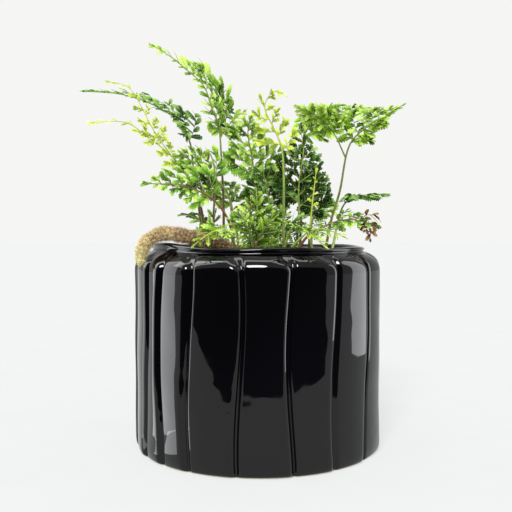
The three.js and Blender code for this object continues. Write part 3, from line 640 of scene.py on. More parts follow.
class Tree(Nodes):
    """One Geometry Nodes tree with named inputs."""

    def __init__(self, name, inputs):
        group = bpy.data.node_groups.new(name, "GeometryNodeTree")
        super().__init__(group)
        group.interface.new_socket("Geometry", in_out="INPUT", socket_type="NodeSocketGeometry")
        group.interface.new_socket("Geometry", in_out="OUTPUT", socket_type="NodeSocketGeometry")
        self.named = {}
        for label, kind in inputs.items():
            socket = group.interface.new_socket(label, in_out="INPUT", socket_type=f"NodeSocket{kind}")
            self.named[label] = socket.identifier
        self.given = self.node("NodeGroupInput").outputs
        self.result = self.node("NodeGroupOutput").inputs["Geometry"]

    def read(self, name, kind="FLOAT"):
        """A named attribute of the geometry."""
        made = self.node("GeometryNodeInputNamedAttribute", {"Name": name}, data_type=kind)
        return next(output for output in made.outputs if output.enabled and output.name == "Attribute")

    def random(self, low, high, seed):
        """A number or a vector between two others, for each point."""
        kind = "FLOAT_VECTOR" if isinstance(low, tuple) else "FLOAT"
        made = self.node("FunctionNodeRandomValue", {"Seed": seed}, data_type=kind)
        for socket, value in zip((socket for socket in made.inputs if socket.enabled), (low, high)):
            socket.default_value = value
        return next(output for output in made.outputs if output.enabled)

    def put(self, points, piece, turned, scale, choice=None):
        """A piece on each of the points, or on those of a choice."""
        values = {"Points": points, "Instance": piece, "Rotation": turned, "Scale": scale}
        return self.node("GeometryNodeInstanceOnPoints", values | (choice or {})).outputs[0]

    def tubes(self, selection=True):
        """Round stems along the base mesh's edges, as thick as their girth."""
        edges = {"Mesh": self.given["Geometry"], "Selection": selection}
        curve = self.node("GeometryNodeMeshToCurve", edges).outputs[0]
        ring = {"Resolution": self.given["Sides"], "Radius": 1.0}
        profile = self.node("GeometryNodeCurvePrimitiveCircle", ring).outputs[0]
        swept = {"Curve": curve, "Profile Curve": profile, "Scale": self.read("girth"), "Fill Caps": True}
        return self.node("GeometryNodeCurveToMesh", swept).outputs[0]

    def over(self, value, limit):
        """Whether a value is over a limit."""
        return self.node("FunctionNodeCompare", {0: value, 1: limit}, operation="GREATER_THAN").outputs[0]

    def scatter(self, seed, density):
        """Points on the faces of the given surface above its lowest level."""
        position = self.node("GeometryNodeInputPosition").outputs[0]
        height = self.node("ShaderNodeSeparateXYZ", {0: position}).outputs["Z"]
        above = self.over(height, self.given["Lowest"])
        values = {"Mesh": self.given["Geometry"], "Selection": above, "Density": density, "Seed": seed}
        return self.node("GeometryNodeDistributePointsOnFaces", values).outputs

    def tinted(self, pieces):
        """Gives each of the pieces a tint of its own."""
        values = {"Geometry": pieces, "Name": "tint", "Value": self.random(0.0, 1.0, 9)}
        kept = self.node("GeometryNodeStoreNamedAttribute", values, data_type="FLOAT", domain="INSTANCE")
        return kept.outputs[0]

    def finish(self, geometry, *materials):
        """Ends the tree: instances made real, then each material on what its selection takes."""
        last = self.node("GeometryNodeRealizeInstances", {"Geometry": geometry}).outputs[0]
        for material, selection in materials:
            values = {"Geometry": last, "Material": material, "Selection": selection}
            last = self.node("GeometryNodeSetMaterial", values).outputs[0]
        self.feed(self.result, last)


def grown(name, base, tree, values):
    """The plain mesh that a tree makes from a base mesh."""
    source = link(f"{name}_base", base)
    modifier = source.modifiers.new("grow", "NODES")
    modifier.node_group = tree.group
    for label, value in values.items():
        modifier[tree.named[label]] = value
    depsgraph = bpy.context.evaluated_depsgraph_get()
    made = bpy.data.meshes.new_from_object(source.evaluated_get(depsgraph), depsgraph=depsgraph)
    made.name = name
    source.modifiers.remove(modifier)
    bpy.data.objects.remove(source)
    smooth(made)
    made.set_sharp_from_angle(angle=math.radians(SHARP_ANGLE))
    return made


def frond_tree():
    """Round stems along the base mesh's edges and a lobed leaflet on each of its loose points."""
    tree = Tree("frond", {"Sides": "Int", "Leaflet shapes": "Collection", "Stem": "Material",
                          "Leaf": "Material"})
    leaflet = tree.read("leaflet", "BOOLEAN")
    stem = tree.node("FunctionNodeBooleanMath", {0: leaflet}, operation="NOT").outputs[0]
    given = {"Collection": tree.given["Leaflet shapes"], "Separate Children": True, "Reset Children": True}
    shapes = tree.node("GeometryNodeCollectionInfo", given).outputs[0]
    axes = {"Primary Axis": tree.read("face", "FLOAT_VECTOR"),
            "Secondary Axis": tree.read("tip", "FLOAT_VECTOR")}
    turned = tree.node("FunctionNodeAxesToRotation", axes, primary_axis="Z", secondary_axis="X").outputs[0]
    choice = {"Selection": leaflet, "Pick Instance": True, "Instance Index": tree.read("kind", "INT")}
    size = tree.read("size", "FLOAT_VECTOR")
    joined = tree.node("GeometryNodeJoinGeometry")
    tree.feed(joined.inputs[0], tree.tubes(stem))
    tree.feed(joined.inputs[0], tree.put(tree.given["Geometry"], shapes, turned, size, choice))
    is_leaf = tree.over(tree.read("shade"), 0.001)
    tree.finish(joined.outputs[0], (tree.given["Stem"], True), (tree.given["Leaf"], is_leaf))
    return tree


# ---- Leaflets --------------------------------------------------------------------------------------

LOBES = (1, 2, 3, 4)  # teeth on each side of each leaflet shape
LOBED_LENGTHS = (2.4, 4.2, 6.5)  # leaflets longer than each of these take the next shape
THICKNESS = 0.03  # as a share of a leaflet's length
NOTCH = 0.36  # width left between the notches, as a share of the width over the teeth
HALF_WIDTH = 0.54  # half the greatest width over the teeth, as a share of a leaflet's width
WIDEST_AT = 0.6
ROUND_END = 1.05  # where the round tip would end
WEDGE_FOOT = 0.28  # width at the rib, as a share of the greatest
TEETH = (0.22, 0.86)  # where the teeth begin and end, as shares of the length
# One tooth from its notch to its front, as shares of the room between notches and of the width.
TOOTH = ((0.0, NOTCH), (0.35, 0.92), (0.75, 1.04), (0.97, 0.92))
FIRST_NOTCH = 0.8  # width before the lowest tooth
TIP_EDGE = ((0.93, 0.20), (0.985, 0.11))  # the edge past the last tooth
ARCH, NOD = 0.14, 0.05  # how a leaflet arches along its midrib, and sinks towards its tip
FOLD, FLATTEN = 0.20, 0.45  # how its sides rise from the midrib, and level out again


def leaflet_width(share):
    """Half the width over the teeth: a wedge up to the widest place, then round to the tip."""
    swell = WEDGE_FOOT + (1 - WEDGE_FOOT) * math.sin(0.5 * math.pi * min(1.0, share / WIDEST_AT))
    past = max(0.0, (share - WIDEST_AT) / (ROUND_END - WIDEST_AT))
    return HALF_WIDTH * swell * math.sqrt(1 - past**2)


def leaflet_side(lobes):
    """One side of a leaflet's edge, from its base to its tip, as (along, across) points. Each tooth
    leans forwards, with a long back and a short, rounded front."""
    first, last = TEETH
    pitch = (last - first) / lobes
    side = [(0.0, leaflet_width(0.0)), (0.5 * first, 0.9 * leaflet_width(0.5 * first))]
    for lobe in range(lobes):
        start = first + pitch * lobe
        for along, width in TOOTH:
            if lobe == 0 and along == 0:
                width = FIRST_NOTCH
            side.append((start + pitch * along, width * leaflet_width(start + pitch * (0.3 + 0.4 * along))))
    return [*side, (last, NOTCH * leaflet_width(last)), *TIP_EDGE]


def half_faces(rib, side, first, turned):
    """Triangles between the midrib and one side, whose points are numbered from first."""
    faces = []
    here, there = 0, 0
    while here + 1 < len(rib) or there + 1 < len(side):
        rib_done, side_done = here + 1 == len(rib), there + 1 == len(side)
        if side_done or (not rib_done and rib[here + 1][0] <= side[there + 1][0]):
            face = (here, here + 1, first + there)
            here += 1
        else:
            face = (here, first + there + 1, first + there)
            there += 1
        faces.append(face[::-1] if turned else face)
    return faces


def leaflet_mesh(name, lobes):
    """A leaflet one unit long and wide: two faces a little apart, arched along and folded at the rib."""
    side = leaflet_side(lobes)
    rib = [(share, 0.0) for share in np.linspace(0, 1, lobes + 3)]
    flat = rib + side + [(along, -across) for along, across in side]
    right, left, count = len(rib), len(rib) + len(side), len(flat)
    upper = half_faces(rib, side, right, False) + half_faces(rib, side, left, True)
    lower = [tuple(count + number for number in face[::-1]) for face in upper]
    loop = [0, *range(left, count), right - 1, *reversed(range(right, left))]
    rim = [(end, start, count + start, count + end) for start, end in zip(loop, loop[1:] + loop[:1])]
    points = []
    for lift in (0.5, -0.5):
        for along, across in flat:
            arch = ARCH * along * (1 - along) - NOD * along**2
            fold = FOLD * abs(across) - FLATTEN * across**2
            points.append((along, across, arch + fold + lift * THICKNESS))
    mesh = bpy.data.meshes.new(name)
    mesh.from_pydata(points, [], upper + lower + rim)
    corners = (flat[corner.vertex_index % count] for corner in mesh.loops)
    spots = [(0.5 + across, along) for along, across in corners]
    mesh.uv_layers.new(name="leaf").data.foreach_set("uv", np.array(spots, dtype=np.float32).ravel())
    mesh.update()
    return mesh


def leaflet_collection():
    """The leaflet shapes, from the least to the most lobed."""
    shapes = bpy.data.collections.new("leaflet_shapes")
    for number, lobes in enumerate(LOBES):
        name = f"leaflet_{number}"
        shapes.objects.link(bpy.data.objects.new(name, leaflet_mesh(name, lobes)))
    return shapes


# ---- Fronds ----------------------------------------------------------------------------------------


@dataclass
class Spray:
    """One blade on its stipe.

    The foot is where the stipe leaves the mix, and start the point on another spine that it
    branches from instead. The spine passes the points of the way, and its first share is bare.
    The longest pinna, the pairs of pinnae and the direction of the blade's right-hand side, at its
    start and at its end, give the blade. The other values bend one spray away from the usual:
    stand is how high the stipe stands upright, and girth makes stem and ribs thicker or thinner;
    next is the second pinna's length as a share of the first's;
    left is the left-hand pinnae's length as a share of the right-hand ones';
    spread and left_spread are the angles of the lowest pinnae from the rachis;
    skirt is how far the lowest pinnae's lower leaflets reach, as a share of the pinna's length;
    fill is how much of the room between pinnae the leaflets take, and slim narrows them;
    lift and droop raise the pinnae from the rachis and let them sink again;
    brown is the stem's colour at its foot and at the blade, from 0, yellow-green, to 1, dark brown;
    tone is how light the leaflets are, and whole the length up to which a pinna is one leaflet;
    crown is how far the leaflets of the blade's tip reach, as a share of the tip's length.
    """

    node: str
    leaf: str
    bare: float
    pinna: float
    pairs: int
    side: tuple
    way: list
    foot: tuple = None
    start: tuple = None
    side_end: tuple = None
    stand: float = STAND
    girth: float = 1.0
    next: float = 0.74
    left: float = 1.0
    spread: float = PINNA_SPREAD
    left_spread: float = None
    skirt: float = 0.3
    fill: float = 0.95
    lift: float = 0.12
    droop: float = 0.012
    brown: tuple = (0.55, 0.25)
    tone: float = 0.5
    slim: float = 1.0
    whole: float = WHOLE_PINNA
    crown: float = 0.2


def tuft(node, leaf, pinna, pairs, side, way, foot, fill=1.9, slim=0.5, **more):
    """A low tuft of whole lobed leaflets on a short stalk."""
    return Spray(node, leaf, 0.25, pinna, pairs, side, way, foot, fill=fill, slim=slim, whole=8.5, **more)


def bush(node, bare, pinna, pairs, side, way, foot, **more):
    """A dense dark frond from the middle of the plant."""
    return Spray(node, "dark", bare, pinna, pairs, side, way, foot, next=0.95, spread=50, fill=1.25,
                 whole=6, **more)


SPRAYS = [
    Spray("frond_tall_left", "mature", 0.47, 27, 11, (0.5, 0.7, 0.5),
        [(-17, 3, 118), (-18, 1, 140), (-19, 0, 154), (-22, -3, 162), (-26, -5, 173), (-34, -9, 180),
         (-42, -12, 186), (-51, -15, 191)],
        foot=(-17, 4), left=0.36, next=0.76, spread=48, skirt=0.4, fill=1.1, whole=8,
        brown=(0.8, 0.32), tone=0.74, crown=0.36),
    Spray("frond_tall_left", "mature", 0.1, 8, 5, (-0.6, 0.3, 0.7), [(-13, 1, 156.5), (-5, -1, 163)],
        start=(-18.6, 1.5, 149), next=0.9, fill=1.3, whole=7, brown=(0.32, 0.3), tone=0.84),
    Spray("frond_left_arch", "dark", 0.46, 16, 8, (0.4, 0.9, 0),
        [(-29, 8, 112), (-32, 8, 132), (-34, 8, 148), (-41, 5, 159), (-53, 2, 166), (-67, 0, 170),
         (-86, -3, 171)],
        foot=(-27, 8), next=0.8, lift=0.5, side_end=(0, 1, 0), whole=6, brown=(0.85, 0.42), tone=0.98),
    Spray("frond_young_left", "young", 0.42, 11, 6, (0.25, 0.7, 0.5),
        [(-27, -4, 112), (-31, -8, 126), (-41, -12, 139), (-51, -16, 147), (-62, -18, 154),
         (-79, -21, 153)],
        foot=(-26, -3), lift=0.2, fill=0.85, brown=(0.85, 0.05), slim=0.72),
    Spray("frond_young_left", "young", 0.15, 9, 5, (0.5, 0.6, 0.5),
        [(-49, -15, 151), (-54, -17, 161), (-60, -19, 170), (-70, -21, 172)],
        start=(-41, -12, 139), fill=0.95, brown=(0.3, 0.1), slim=0.72),
    Spray("frond_low_left", "mature", 0.42, 18, 6, (0.3, 0.5, 0.8),
        [(-12, -18, 102), (-15, -20, 111), (-22, -22, 119), (-34, -25, 124), (-52, -31, 125)],
        foot=(-12, -17), left=0.6, next=0.8, brown=(0.8, 0.7), tone=0.46),
    Spray("frond_mid_left", "mature", 0.58, 17, 5, (0.6, 0.5, 0.6),
        [(-12, -6, 104), (-14, -6, 120), (-20, -7, 128), (-28, -9, 134), (-38, -12, 142)],
        foot=(-12, -5), next=0.8, brown=(0.6, 0.3), tone=0.46),
    Spray("frond_centre", "mature", 0.48, 19, 6, (1, 0.1, 0.1),
        [(0, 10, 114), (-1, 9, 126), (-3, 6, 140), (-5, 4, 152), (-3, -1, 160)],
        foot=(0, 10), next=0.8, spread=52, brown=(0.6, 0.45), tone=0.66, slim=1.1),
    Spray("frond_curled_tip", "young", 0.55, 12, 5, (1, 0, 0),
        [(12, -14, 112), (12, -15, 128), (11, -16, 142), (7, -16, 152), (3, -17, 161), (7, -18, 168),
         (13, -18, 166)],
        foot=(12, -13), fill=0.75, next=0.8, whole=3.2, brown=(0.45, 0.12), tone=0.36, slim=0.8),
    Spray("frond_large_right", "fresh", 0.61, 22, 7, (0.8, -0.6, -0.1),
        [(37, 10, 110), (41, 9, 124), (44, 7, 142), (48, 5, 150), (57, -2, 157), (70, -10, 164)],
        foot=(34, 10), next=0.9, spread=46, left_spread=84, skirt=0.12, fill=1.5, lift=0.3,
        droop=0.003, left=0.6, side_end=(0.12, -0.93, -0.2), brown=(0.5, 0.38), tone=0.58),
    Spray("frond_large_right", "fresh", 0.34, 11, 5, (0.2, -0.75, 0.6),
        [(37, 4, 152), (28, 1, 160), (17, -3, 164)],
        start=(43.5, 7.5, 140), next=0.9, fill=1.4, lift=0.1, brown=(0.38, 0.3), tone=0.75),
    Spray("frond_right_back", "mature", 0.58, 20, 7, (0.5, -0.7, -0.5),
        [(23, 28, 119), (23, 29, 144), (26, 29, 157), (38, 28, 163), (59, 26, 168)],
        foot=(22, 25), next=0.9, fill=1.3, side_end=(0, -0.85, -0.5), brown=(0.9, 0.5), tone=0.62),
    bush("frond_dark_upright", 0.3, 17, 6, (1, 0.1, 0),
        [(20, 2, 112), (20, 0, 128), (22, -2, 142), (20, -4, 155)], (19, 2), tone=0.42),
    bush("frond_dark_right", 0.35, 14, 5, (0.9, 0.2, -0.3),
        [(27, 14, 108), (28, 13, 122), (31, 12, 137)], (27, 13), brown=(0.9, 0.5), tone=0.42),
    bush("frond_dark_left", 0.35, 15, 5, (0.9, 0.1, 0.3),
        [(8, 4, 106), (5, 5, 120), (2, 4, 136)], (8, 3)),
    Spray("frond_low_right", "dark", 0.5, 16, 5, (-0.7, -0.7, 0),
        [(41, 22, 106), (44, 24, 116), (49, 22, 121), (57, 17, 122), (65, 10, 122)],
        foot=(38, 17), next=0.9, lift=0.05, brown=(0.12, 0.2), tone=0.7),
    Spray("frond_withered", "mature", 0.45, 10, 4, (0, -0.8, -0.5),
        [(24, -4, 101), (32, -6, 106), (42, -8, 109), (50, -11, 108), (58, -14, 105)],
        foot=(20, -4), next=0.8, brown=(0.8, 0.6)),
    Spray("frond_withered", "withered", 0.25, 7, 3, (0.9, -0.3, 0),
        [(50, -10, 111), (53, -11, 106), (53, -12, 98)],
        start=(46, -9.3, 108.8), girth=0.8, fill=1.3, brown=(0.75, 0.75), tone=0.6),
    Spray("frond_small_right", "fresh", 0.35, 8, 4, (0, -0.7, -0.6),
        [(18, -26, 99), (24, -27, 104), (32, -29, 104), (40, -32, 100)],
        foot=(15, -25), next=0.8, fill=1.6, brown=(0.3, 0.15), whole=6, slim=0.5),
    Spray("frond_front_right", "fresh", 0.4, 9, 4, (-0.6, -0.4, 0.3),
        [(13, -35, 101), (16, -39, 106), (20, -45, 104), (29, -55, 96)],
        foot=(11, -33), stand=3, next=0.8, fill=1.6, brown=(0.35, 0.1), whole=6, slim=0.5),
    Spray("frond_front_left", "fresh", 0.4, 9, 4, (-0.6, 0.4, 0.3),
        [(-11, -38, 100), (-15, -42, 104.5), (-21, -47, 102.5), (-28, -54, 97)],
        foot=(-10, -36), stand=3, next=0.8, fill=1.6, brown=(0.35, 0.1), tone=0.62, whole=7, slim=0.5),
    Spray("frond_thin_stalk", "young", 0.5, 3, 3, (1, 0, 0),
        [(24, -19, 102), (25, -20, 116), (27, -20, 133)], foot=(25, -18), girth=0.8, brown=(0.1, 0.0)),
    Spray("frond_fiddlehead", "young", 0.86, 2.5, 2, (0, 1, 0),
        [(-21, -13, 112), (-20, -13, 128), (-22, -14, 139), (-25, -14, 141), (-26.4, -14.6, 138.6),
         (-24.6, -15, 137.2), (-23.6, -15.2, 138.8)],
        foot=(-21, -12), girth=0.8, brown=(0.5, 0.2)),
    tuft("tuft_left", "fresh", 9, 3, (0.5, 0.4, 0.7), [(-23, -23, 104), (-31, -27, 111)], (-21, -22),
        stand=3, brown=(0.5, 0.3), tone=0.56),
    tuft("tuft_left", "fresh", 9, 3, (1, 0, 0), [(-21, -24, 102), (-19, -28, 114)], (-21, -22),
        stand=3, brown=(0.75, 0.7), tone=0.36),
    tuft("tuft_front", "fresh", 11, 4, (0.8, 0.3, 0.4), [(-3, -36, 101), (-8, -35, 113)], (-2, -36),
        fill=2, stand=3, brown=(0.4, 0.2), tone=0.52),
    tuft("tuft_front", "fresh", 11, 4, (0.9, 0, -0.3), [(0, -38, 100), (6, -40, 109)], (-2, -36),
        fill=2, stand=3, brown=(0.7, 0.6), tone=0.36),
    tuft("tuft_middle", "mature", 12, 4, (1, 0, 0), [(-4, -28, 104), (-3, -31, 120)], (-3, -26),
        stand=5, brown=(0.8, 0.7), tone=0.56),
    tuft("tuft_middle", "mature", 12, 4, (0.9, 0, -0.4), [(0, -28, 102), (9, -31, 111)], (-3, -26),
        stand=5, tone=0.4),
    tuft("tuft_centre", "mature", 13, 5, (1, 0, 0), [(0, -10, 106), (-1, -10, 125)], (0, -8),
        slim=0.55, tone=0.33),
    tuft("tuft_centre", "mature", 12, 4, (0.9, 0, -0.3), [(5, -9, 103), (14, -7, 115)], (0, -8),
        slim=0.55, tone=0.33),
    tuft("tuft_centre", "dark", 13, 4, (0.9, 0, 0.3), [(8, -4, 101), (24, -5, 111)], (2, -6), tone=0.6),
    Spray("frond_back_left", "mature", 0.4, 16, 6, (0.8, 0.5, 0),
        [(-12, 26, 108), (-16, 33, 124), (-24, 46, 132)], foot=(-10, 24), next=0.9),
    Spray("frond_back_middle", "dark", 0.4, 17, 6, (1, 0, 0),
        [(7, 31, 110), (8, 38, 128), (8, 53, 138)], foot=(6, 28), next=0.9),
    Spray("frond_back_right", "mature", 0.4, 14, 5, (0.8, -0.5, 0),
        [(28, 33, 104), (32, 40, 116), (38, 53, 120)], foot=(27, 30), next=0.9),
    Spray("frond_side_left", "dark", 0.4, 8, 5, (0.5, 0.8, 0),
        [(-28, 22, 103), (-32, 27, 111), (-43, 37, 112)], foot=(-26, 20), next=0.9),
]


def curve_through(knots, count=300):
    """Points, tangents and distances along an even Catmull-Rom curve."""
    knots = padded(np.array(knots, dtype=float))
    steps = np.linspace(0, len(knots) - 3, count)
    index = np.minimum(steps.astype(int), len(knots) - 4)
    share = (steps - index)[:, None]
    before, start, end, after = (knots[index + shift] for shift in range(4))
    leaving, arriving = (end - before) / 2, (after - start) / 2
    points = bend(share, start, leaving, end, arriving)
    square = share**2
    tangents = ((6 * square - 6 * share) * start + (3 * square - 4 * share + 1) * leaving
                + (6 * share - 6 * square) * end + (3 * square - 2 * share) * arriving)
    distances = np.concatenate([[0], np.cumsum(np.linalg.norm(np.diff(points, axis=0), axis=1))])
    return points, unit(tangents), distances


class Growth:
    """Gathers the stems and leaflets of one piece until its base mesh is made."""

    def __init__(self):
        self.stems = []  # points, girths and browns
        self.leaflets = []  # root, tip, face, width and shade

    def base(self, name):
        """Edges for the stems and one loose point for each leaflet, with what they carry."""
        roots, tips, faces, widths, shades = (np.array(column) for column in zip(*self.leaflets))
        mesh = line_mesh(name, self.stems, "brown", roots)
        length = np.linalg.norm(tips - roots, axis=1)
        carried = {
            "leaflet": np.full(len(roots), True),
            "shade": shades,
            "kind": np.digitize(length, LOBED_LENGTHS),
            "tip": unit(tips - roots),
            "face": unit(faces),
            "size": np.stack([length, widths, length], axis=-1) * MM,
        }
        on_stems = len(mesh.vertices) - len(roots)
        for label, values in carried.items():
            blank = np.zeros((on_stems, *values.shape[1:]), dtype=values.dtype)
            carry(mesh, label, np.concatenate([blank, values]))
        return mesh


def rib_outline(share):
    """How far leaflets reach: a little less at a rib's root, and rounding off to its tip."""
    return (1 - share) ** 0.5 * (0.85 + 0.15 * min(1, share * 6))


def pinna_place(root, spread, hand, reach):
    """A function that turns (along, across) on a pinna into its blade's (along, out)."""
    def place(a, b):
        bow = PINNA_BOW * np.maximum(a, 0) ** 2 / reach
        return (root + a * math.cos(spread) + b * math.sin(spread) + bow,
                hand * (a * math.sin(spread) - b * math.cos(spread)))

    return place


def leaflet_place(place, along, hand, lean):
    """The same for a leaflet on a rib that has a place of its own."""
    def inner(a, b):
        return place(along + a * math.cos(lean) - hand * b * math.sin(lean),
                     hand * a * math.sin(lean) + b * math.cos(lean))

    return inner


class Blade:
    """A spray's spine, the blade laid along it and what grows there."""

    def __init__(self, spray, growth, seed):
        self.spray = spray
        self.growth = growth
        self.dice = np.random.default_rng(seed)
        base = spray.start
        if not base:
            x, y = spray.foot
            base = (x, y, float(soil_top(x, y)) + spray.stand)
        self.points, self.tangents, self.distances = curve_through([base, *spray.way])
        self.length = self.distances[-1]
        self.start = self.length * spray.bare
        self.reach = self.length - self.start
        first = np.array(spray.side, dtype=float)
        last = np.array(spray.side_end or spray.side, dtype=float)
        twist = np.maximum(0, (self.distances / self.length - spray.bare) / (1 - spray.bare))[:, None]
        hint = first + (last - first) * twist
        hint = hint - self.tangents * np.sum(hint * self.tangents, axis=1, keepdims=True)
        self.sides = unit(hint)
        self.normals = np.cross(self.sides, self.tangents)
        self.upper = self.at(self.start + 0.5 * self.reach)[2][0]

    def at(self, distance):
        """Position, side and normal at distances along the spine, which runs straight on past its end."""
        distance = np.atleast_1d(np.asarray(distance, dtype=float))
        held = np.clip(distance, 0, self.length)
        position, tangent, side, normal = (
            np.stack([np.interp(held, self.distances, field[:, axis]) for axis in range(3)], axis=-1)
            for field in (self.points, self.tangents, self.sides, self.normals))
        return position + tangent * (distance - held)[:, None], unit(side), unit(normal)

    def lay(self, along, out):
        """The blade's flat pattern laid in space."""
        along, out = (values.ravel() for values in np.broadcast_arrays(along, out))
        position, side, normal = self.at(self.start + along)
        off = np.abs(out)
        wave = WAVE * off * np.sin(along * WAVE_RATE + self.spray.pinna)
        raised = self.spray.lift * off - self.spray.droop * off**2 + wave
        return position + side * out[:, None] + normal * raised[:, None]

    def grow(self):
        """The stem, the pinnae of both sides and the leafy tip."""
        self.grow_stem()
        for hand in (1, -1):
            for pair in range(self.spray.pairs):
                self.grow_pinna(hand, pair)
        reach = self.reach * TIP_SHARE * TIP_OVERLAP

        def tip_place(a, b):
            return self.reach - reach + a, b

        widths = (reach * self.spray.crown,) * 2
        self.grow_rib(tip_place, reach, widths, self.spray.tone + CROWN_LIGHTENING)

    def grow_stem(self):
        """The stipe from its hole up, and the rachis on to the tip."""
        spray = self.spray
        foot, blade = spray.brown
        steps = np.linspace(0, self.length, max(8, int(self.length / STEM_STEP)))
        points = self.at(steps)[0]
        share = steps / self.length
        up_stem = np.clip(share / spray.bare, 0, 1)
        up_blade = np.clip((share - spray.bare) / (1 - spray.bare), 0, 1)
        girth = spray.girth * STIPE_RADIUS * (1 - (1 - RACHIS_SHARE) * up_stem)
        girth = girth * (1 - up_blade) + TIP_GIRTH * up_blade
        brown = foot + (blade - foot) * up_stem - TIP_GREENING * up_blade
        if spray.start:
            girth = girth * RACHIS_SHARE
        else:
            below = self.points[0] - UP * (spray.stand + HOLE_DEPTH)
            sunk = below + (self.points[0] - below) * np.linspace(0, 1, 4)[:-1, None]
            points = np.vstack([sunk, points])
            girth = np.concatenate([[spray.girth * STIPE_RADIUS] * len(sunk), girth])
            brown = np.concatenate([[foot] * len(sunk), brown])
        self.growth.stems.append((points, girth, brown))

    def pinna_length(self, hand, pair):
        """The lowest pinnae are the longest, and the rest taper off."""
        spray = self.spray
        taper = 1 if pair == 0 else spray.next * (1 - (pair - 1) / (spray.pairs + 0.4))
        growth = 1 + LENGTH_CHANCE * (chance(spray.pinna + hand, pair + 1) - 0.5)
        return spray.pinna * taper * (spray.left if hand < 0 else 1) * growth

    def grow_pinna(self, hand, pair):
        """One pinna, on the right for hand 1 and on the left for -1."""
        spray = self.spray
        pitch = self.reach * (1 - TIP_SHARE) / spray.pairs
        reach = self.pinna_length(hand, pair)
        first = (hand < 0 and spray.left_spread) or spray.spread
        spread = math.radians(first + (LAST_SPREAD - first) * pair / spray.pairs)
        root = pitch * (pair + FIRST_PINNA + (LEFT_LAG if hand < 0 else 0))
        half = 0.5 * spray.fill * min(pitch * math.sin(spread), reach * PINNA_WIDTH)
        lower = half if pair else max(half, reach * spray.skirt)
        shade = spray.tone + TIP_LIGHTENING * (pair / spray.pairs - 0.4)
        shade += PINNA_SHADE_CHANCE * self.dice.normal()
        widths = (half * PINNA_BREADTH, max(half * PINNA_BREADTH, lower))
        self.grow_rib(pinna_place(root, spread, hand, reach), reach, widths, shade, whole=spray.whole)

    def grow_rib(self, place, reach, widths, shade, whole=WHOLE_PINNA, divided=False):
        """A rib with leaflets on both sides. place turns (along, across) on the rib into the
        pattern's (along, out), and widths are how far the leaflets reach on the upper and lower
        side. The leaflets of a divided leaflet's rib aren't divided again."""
        spray, dice = self.spray, self.dice
        steps = np.linspace(0, reach * RIB_SHARE, max(3, int(reach / RIB_STEP) + 2))
        girth = RIB_RADIUS * (0.5 + 0.5 * min(1, reach / FULL_RIB)) * spray.girth
        girths = np.linspace(girth, RIB_TIP, len(steps))
        browns = np.linspace(spray.brown[1], spray.brown[1] * RIB_GREENING, len(steps))
        self.growth.stems.append((self.lay(*place(steps, steps * 0)), girths, browns))
        if reach <= whole:
            width = WHOLE_WIDTH * reach * min(1, math.sqrt(spray.slim))
            self.add_leaflet(place, reach * WHOLE_LENGTH, width, shade)
            return
        slimness = 0.5 + 0.5 * spray.slim
        pitch = min(WIDEST_PITCH, max(FINEST_PITCH * slimness, reach / PITCHES))
        pitch = pitch / min(1.0, spray.fill + 0.05) * slimness
        for hand, side_reach, first in zip((1, -1), widths, FIRST_LEAFLETS):
            along = pitch * first
            while along < reach - LAST_LEAFLETS * pitch:
                usual = side_reach * rib_outline(along / reach)
                out = max(SHORTEST, usual * (LEAST_REACH + REACH_CHANCE * dice.random()))
                lean = math.atan2(out, FORWARD * pitch) + LEAN_CHANCE * dice.normal()
                span = math.hypot(out, FORWARD * pitch)
                width = min(LEAFLET_BREADTH * span, OVERLAP * pitch * math.sin(lean)) * spray.slim
                inner = leaflet_place(place, along, hand, lean)
                if span > DIVIDED_LENGTH and not divided:
                    half = max(DIVIDED_HALF * span, 0.5 * width)
                    self.grow_rib(inner, span, (half, half), shade, divided=True)
                else:
                    self.add_leaflet(inner, span, width, shade)
                along += pitch * (LEAST_PITCH + PITCH_CHANCE * dice.random())
        tip = min(END_SHARE * reach, END_PITCHES * pitch)
        end = leaflet_place(place, reach - tip, 1, 0.0)
        self.add_leaflet(end, tip * END_STRETCH, END_BREADTH * tip * spray.slim, shade)

    def add_leaflet(self, place, span, width, shade):
        """One leaflet that turns its face to the light, each a little its own way."""
        dice = self.dice
        root, tip, near = self.lay(*place(np.array([0, span, span * 0.5]), np.array([0, 0, 0.3])))
        face = np.cross(tip - root, near - (root + tip) / 2)
        face = face / max(1e-9, np.linalg.norm(face))
        if face @ self.upper < 0:
            face = -face
        face = unit(face + LIGHTWARD) + TURN_CHANCE * dice.normal(0, 1, 3)
        tip = tip + face * (CURL_CHANCE * dice.normal() - TIP_DROP) * span
        root, tip = (np.clip(end, REACH_LOW, REACH_HIGH) for end in (root, tip))
        light = min(1, max(DARKEST, shade + SHADE_CHANCE * dice.normal()))
        self.growth.leaflets.append((root, tip, face, width, light))


def make_fronds():
    """A mesh for each node and leaf colour, from all of its sprays."""
    tree = frond_tree()
    shapes = leaflet_collection()
    pieces = {}
    for number, spray in enumerate(SPRAYS):
        growth = pieces.setdefault((spray.node, spray.leaf), Growth())
        Blade(spray, growth, 100 + number).grow()
    for (node, leaf), growth in pieces.items():
        name = f"{node}_{leaf}_leaflets"
        values = {"Sides": STEM_SIDES, "Leaflet shapes": shapes, "Stem": STEM, "Leaf": LEAVES[leaf]}
        frond = link(name, grown(name, growth.base(name), tree, values))
        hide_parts(node)
        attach(frond, "root")
    for shape in list(shapes.objects):
        bpy.data.objects.remove(shape)
    bpy.data.collections.remove(shapes)


# ---- Potting mix -----------------------------------------------------------------------------------


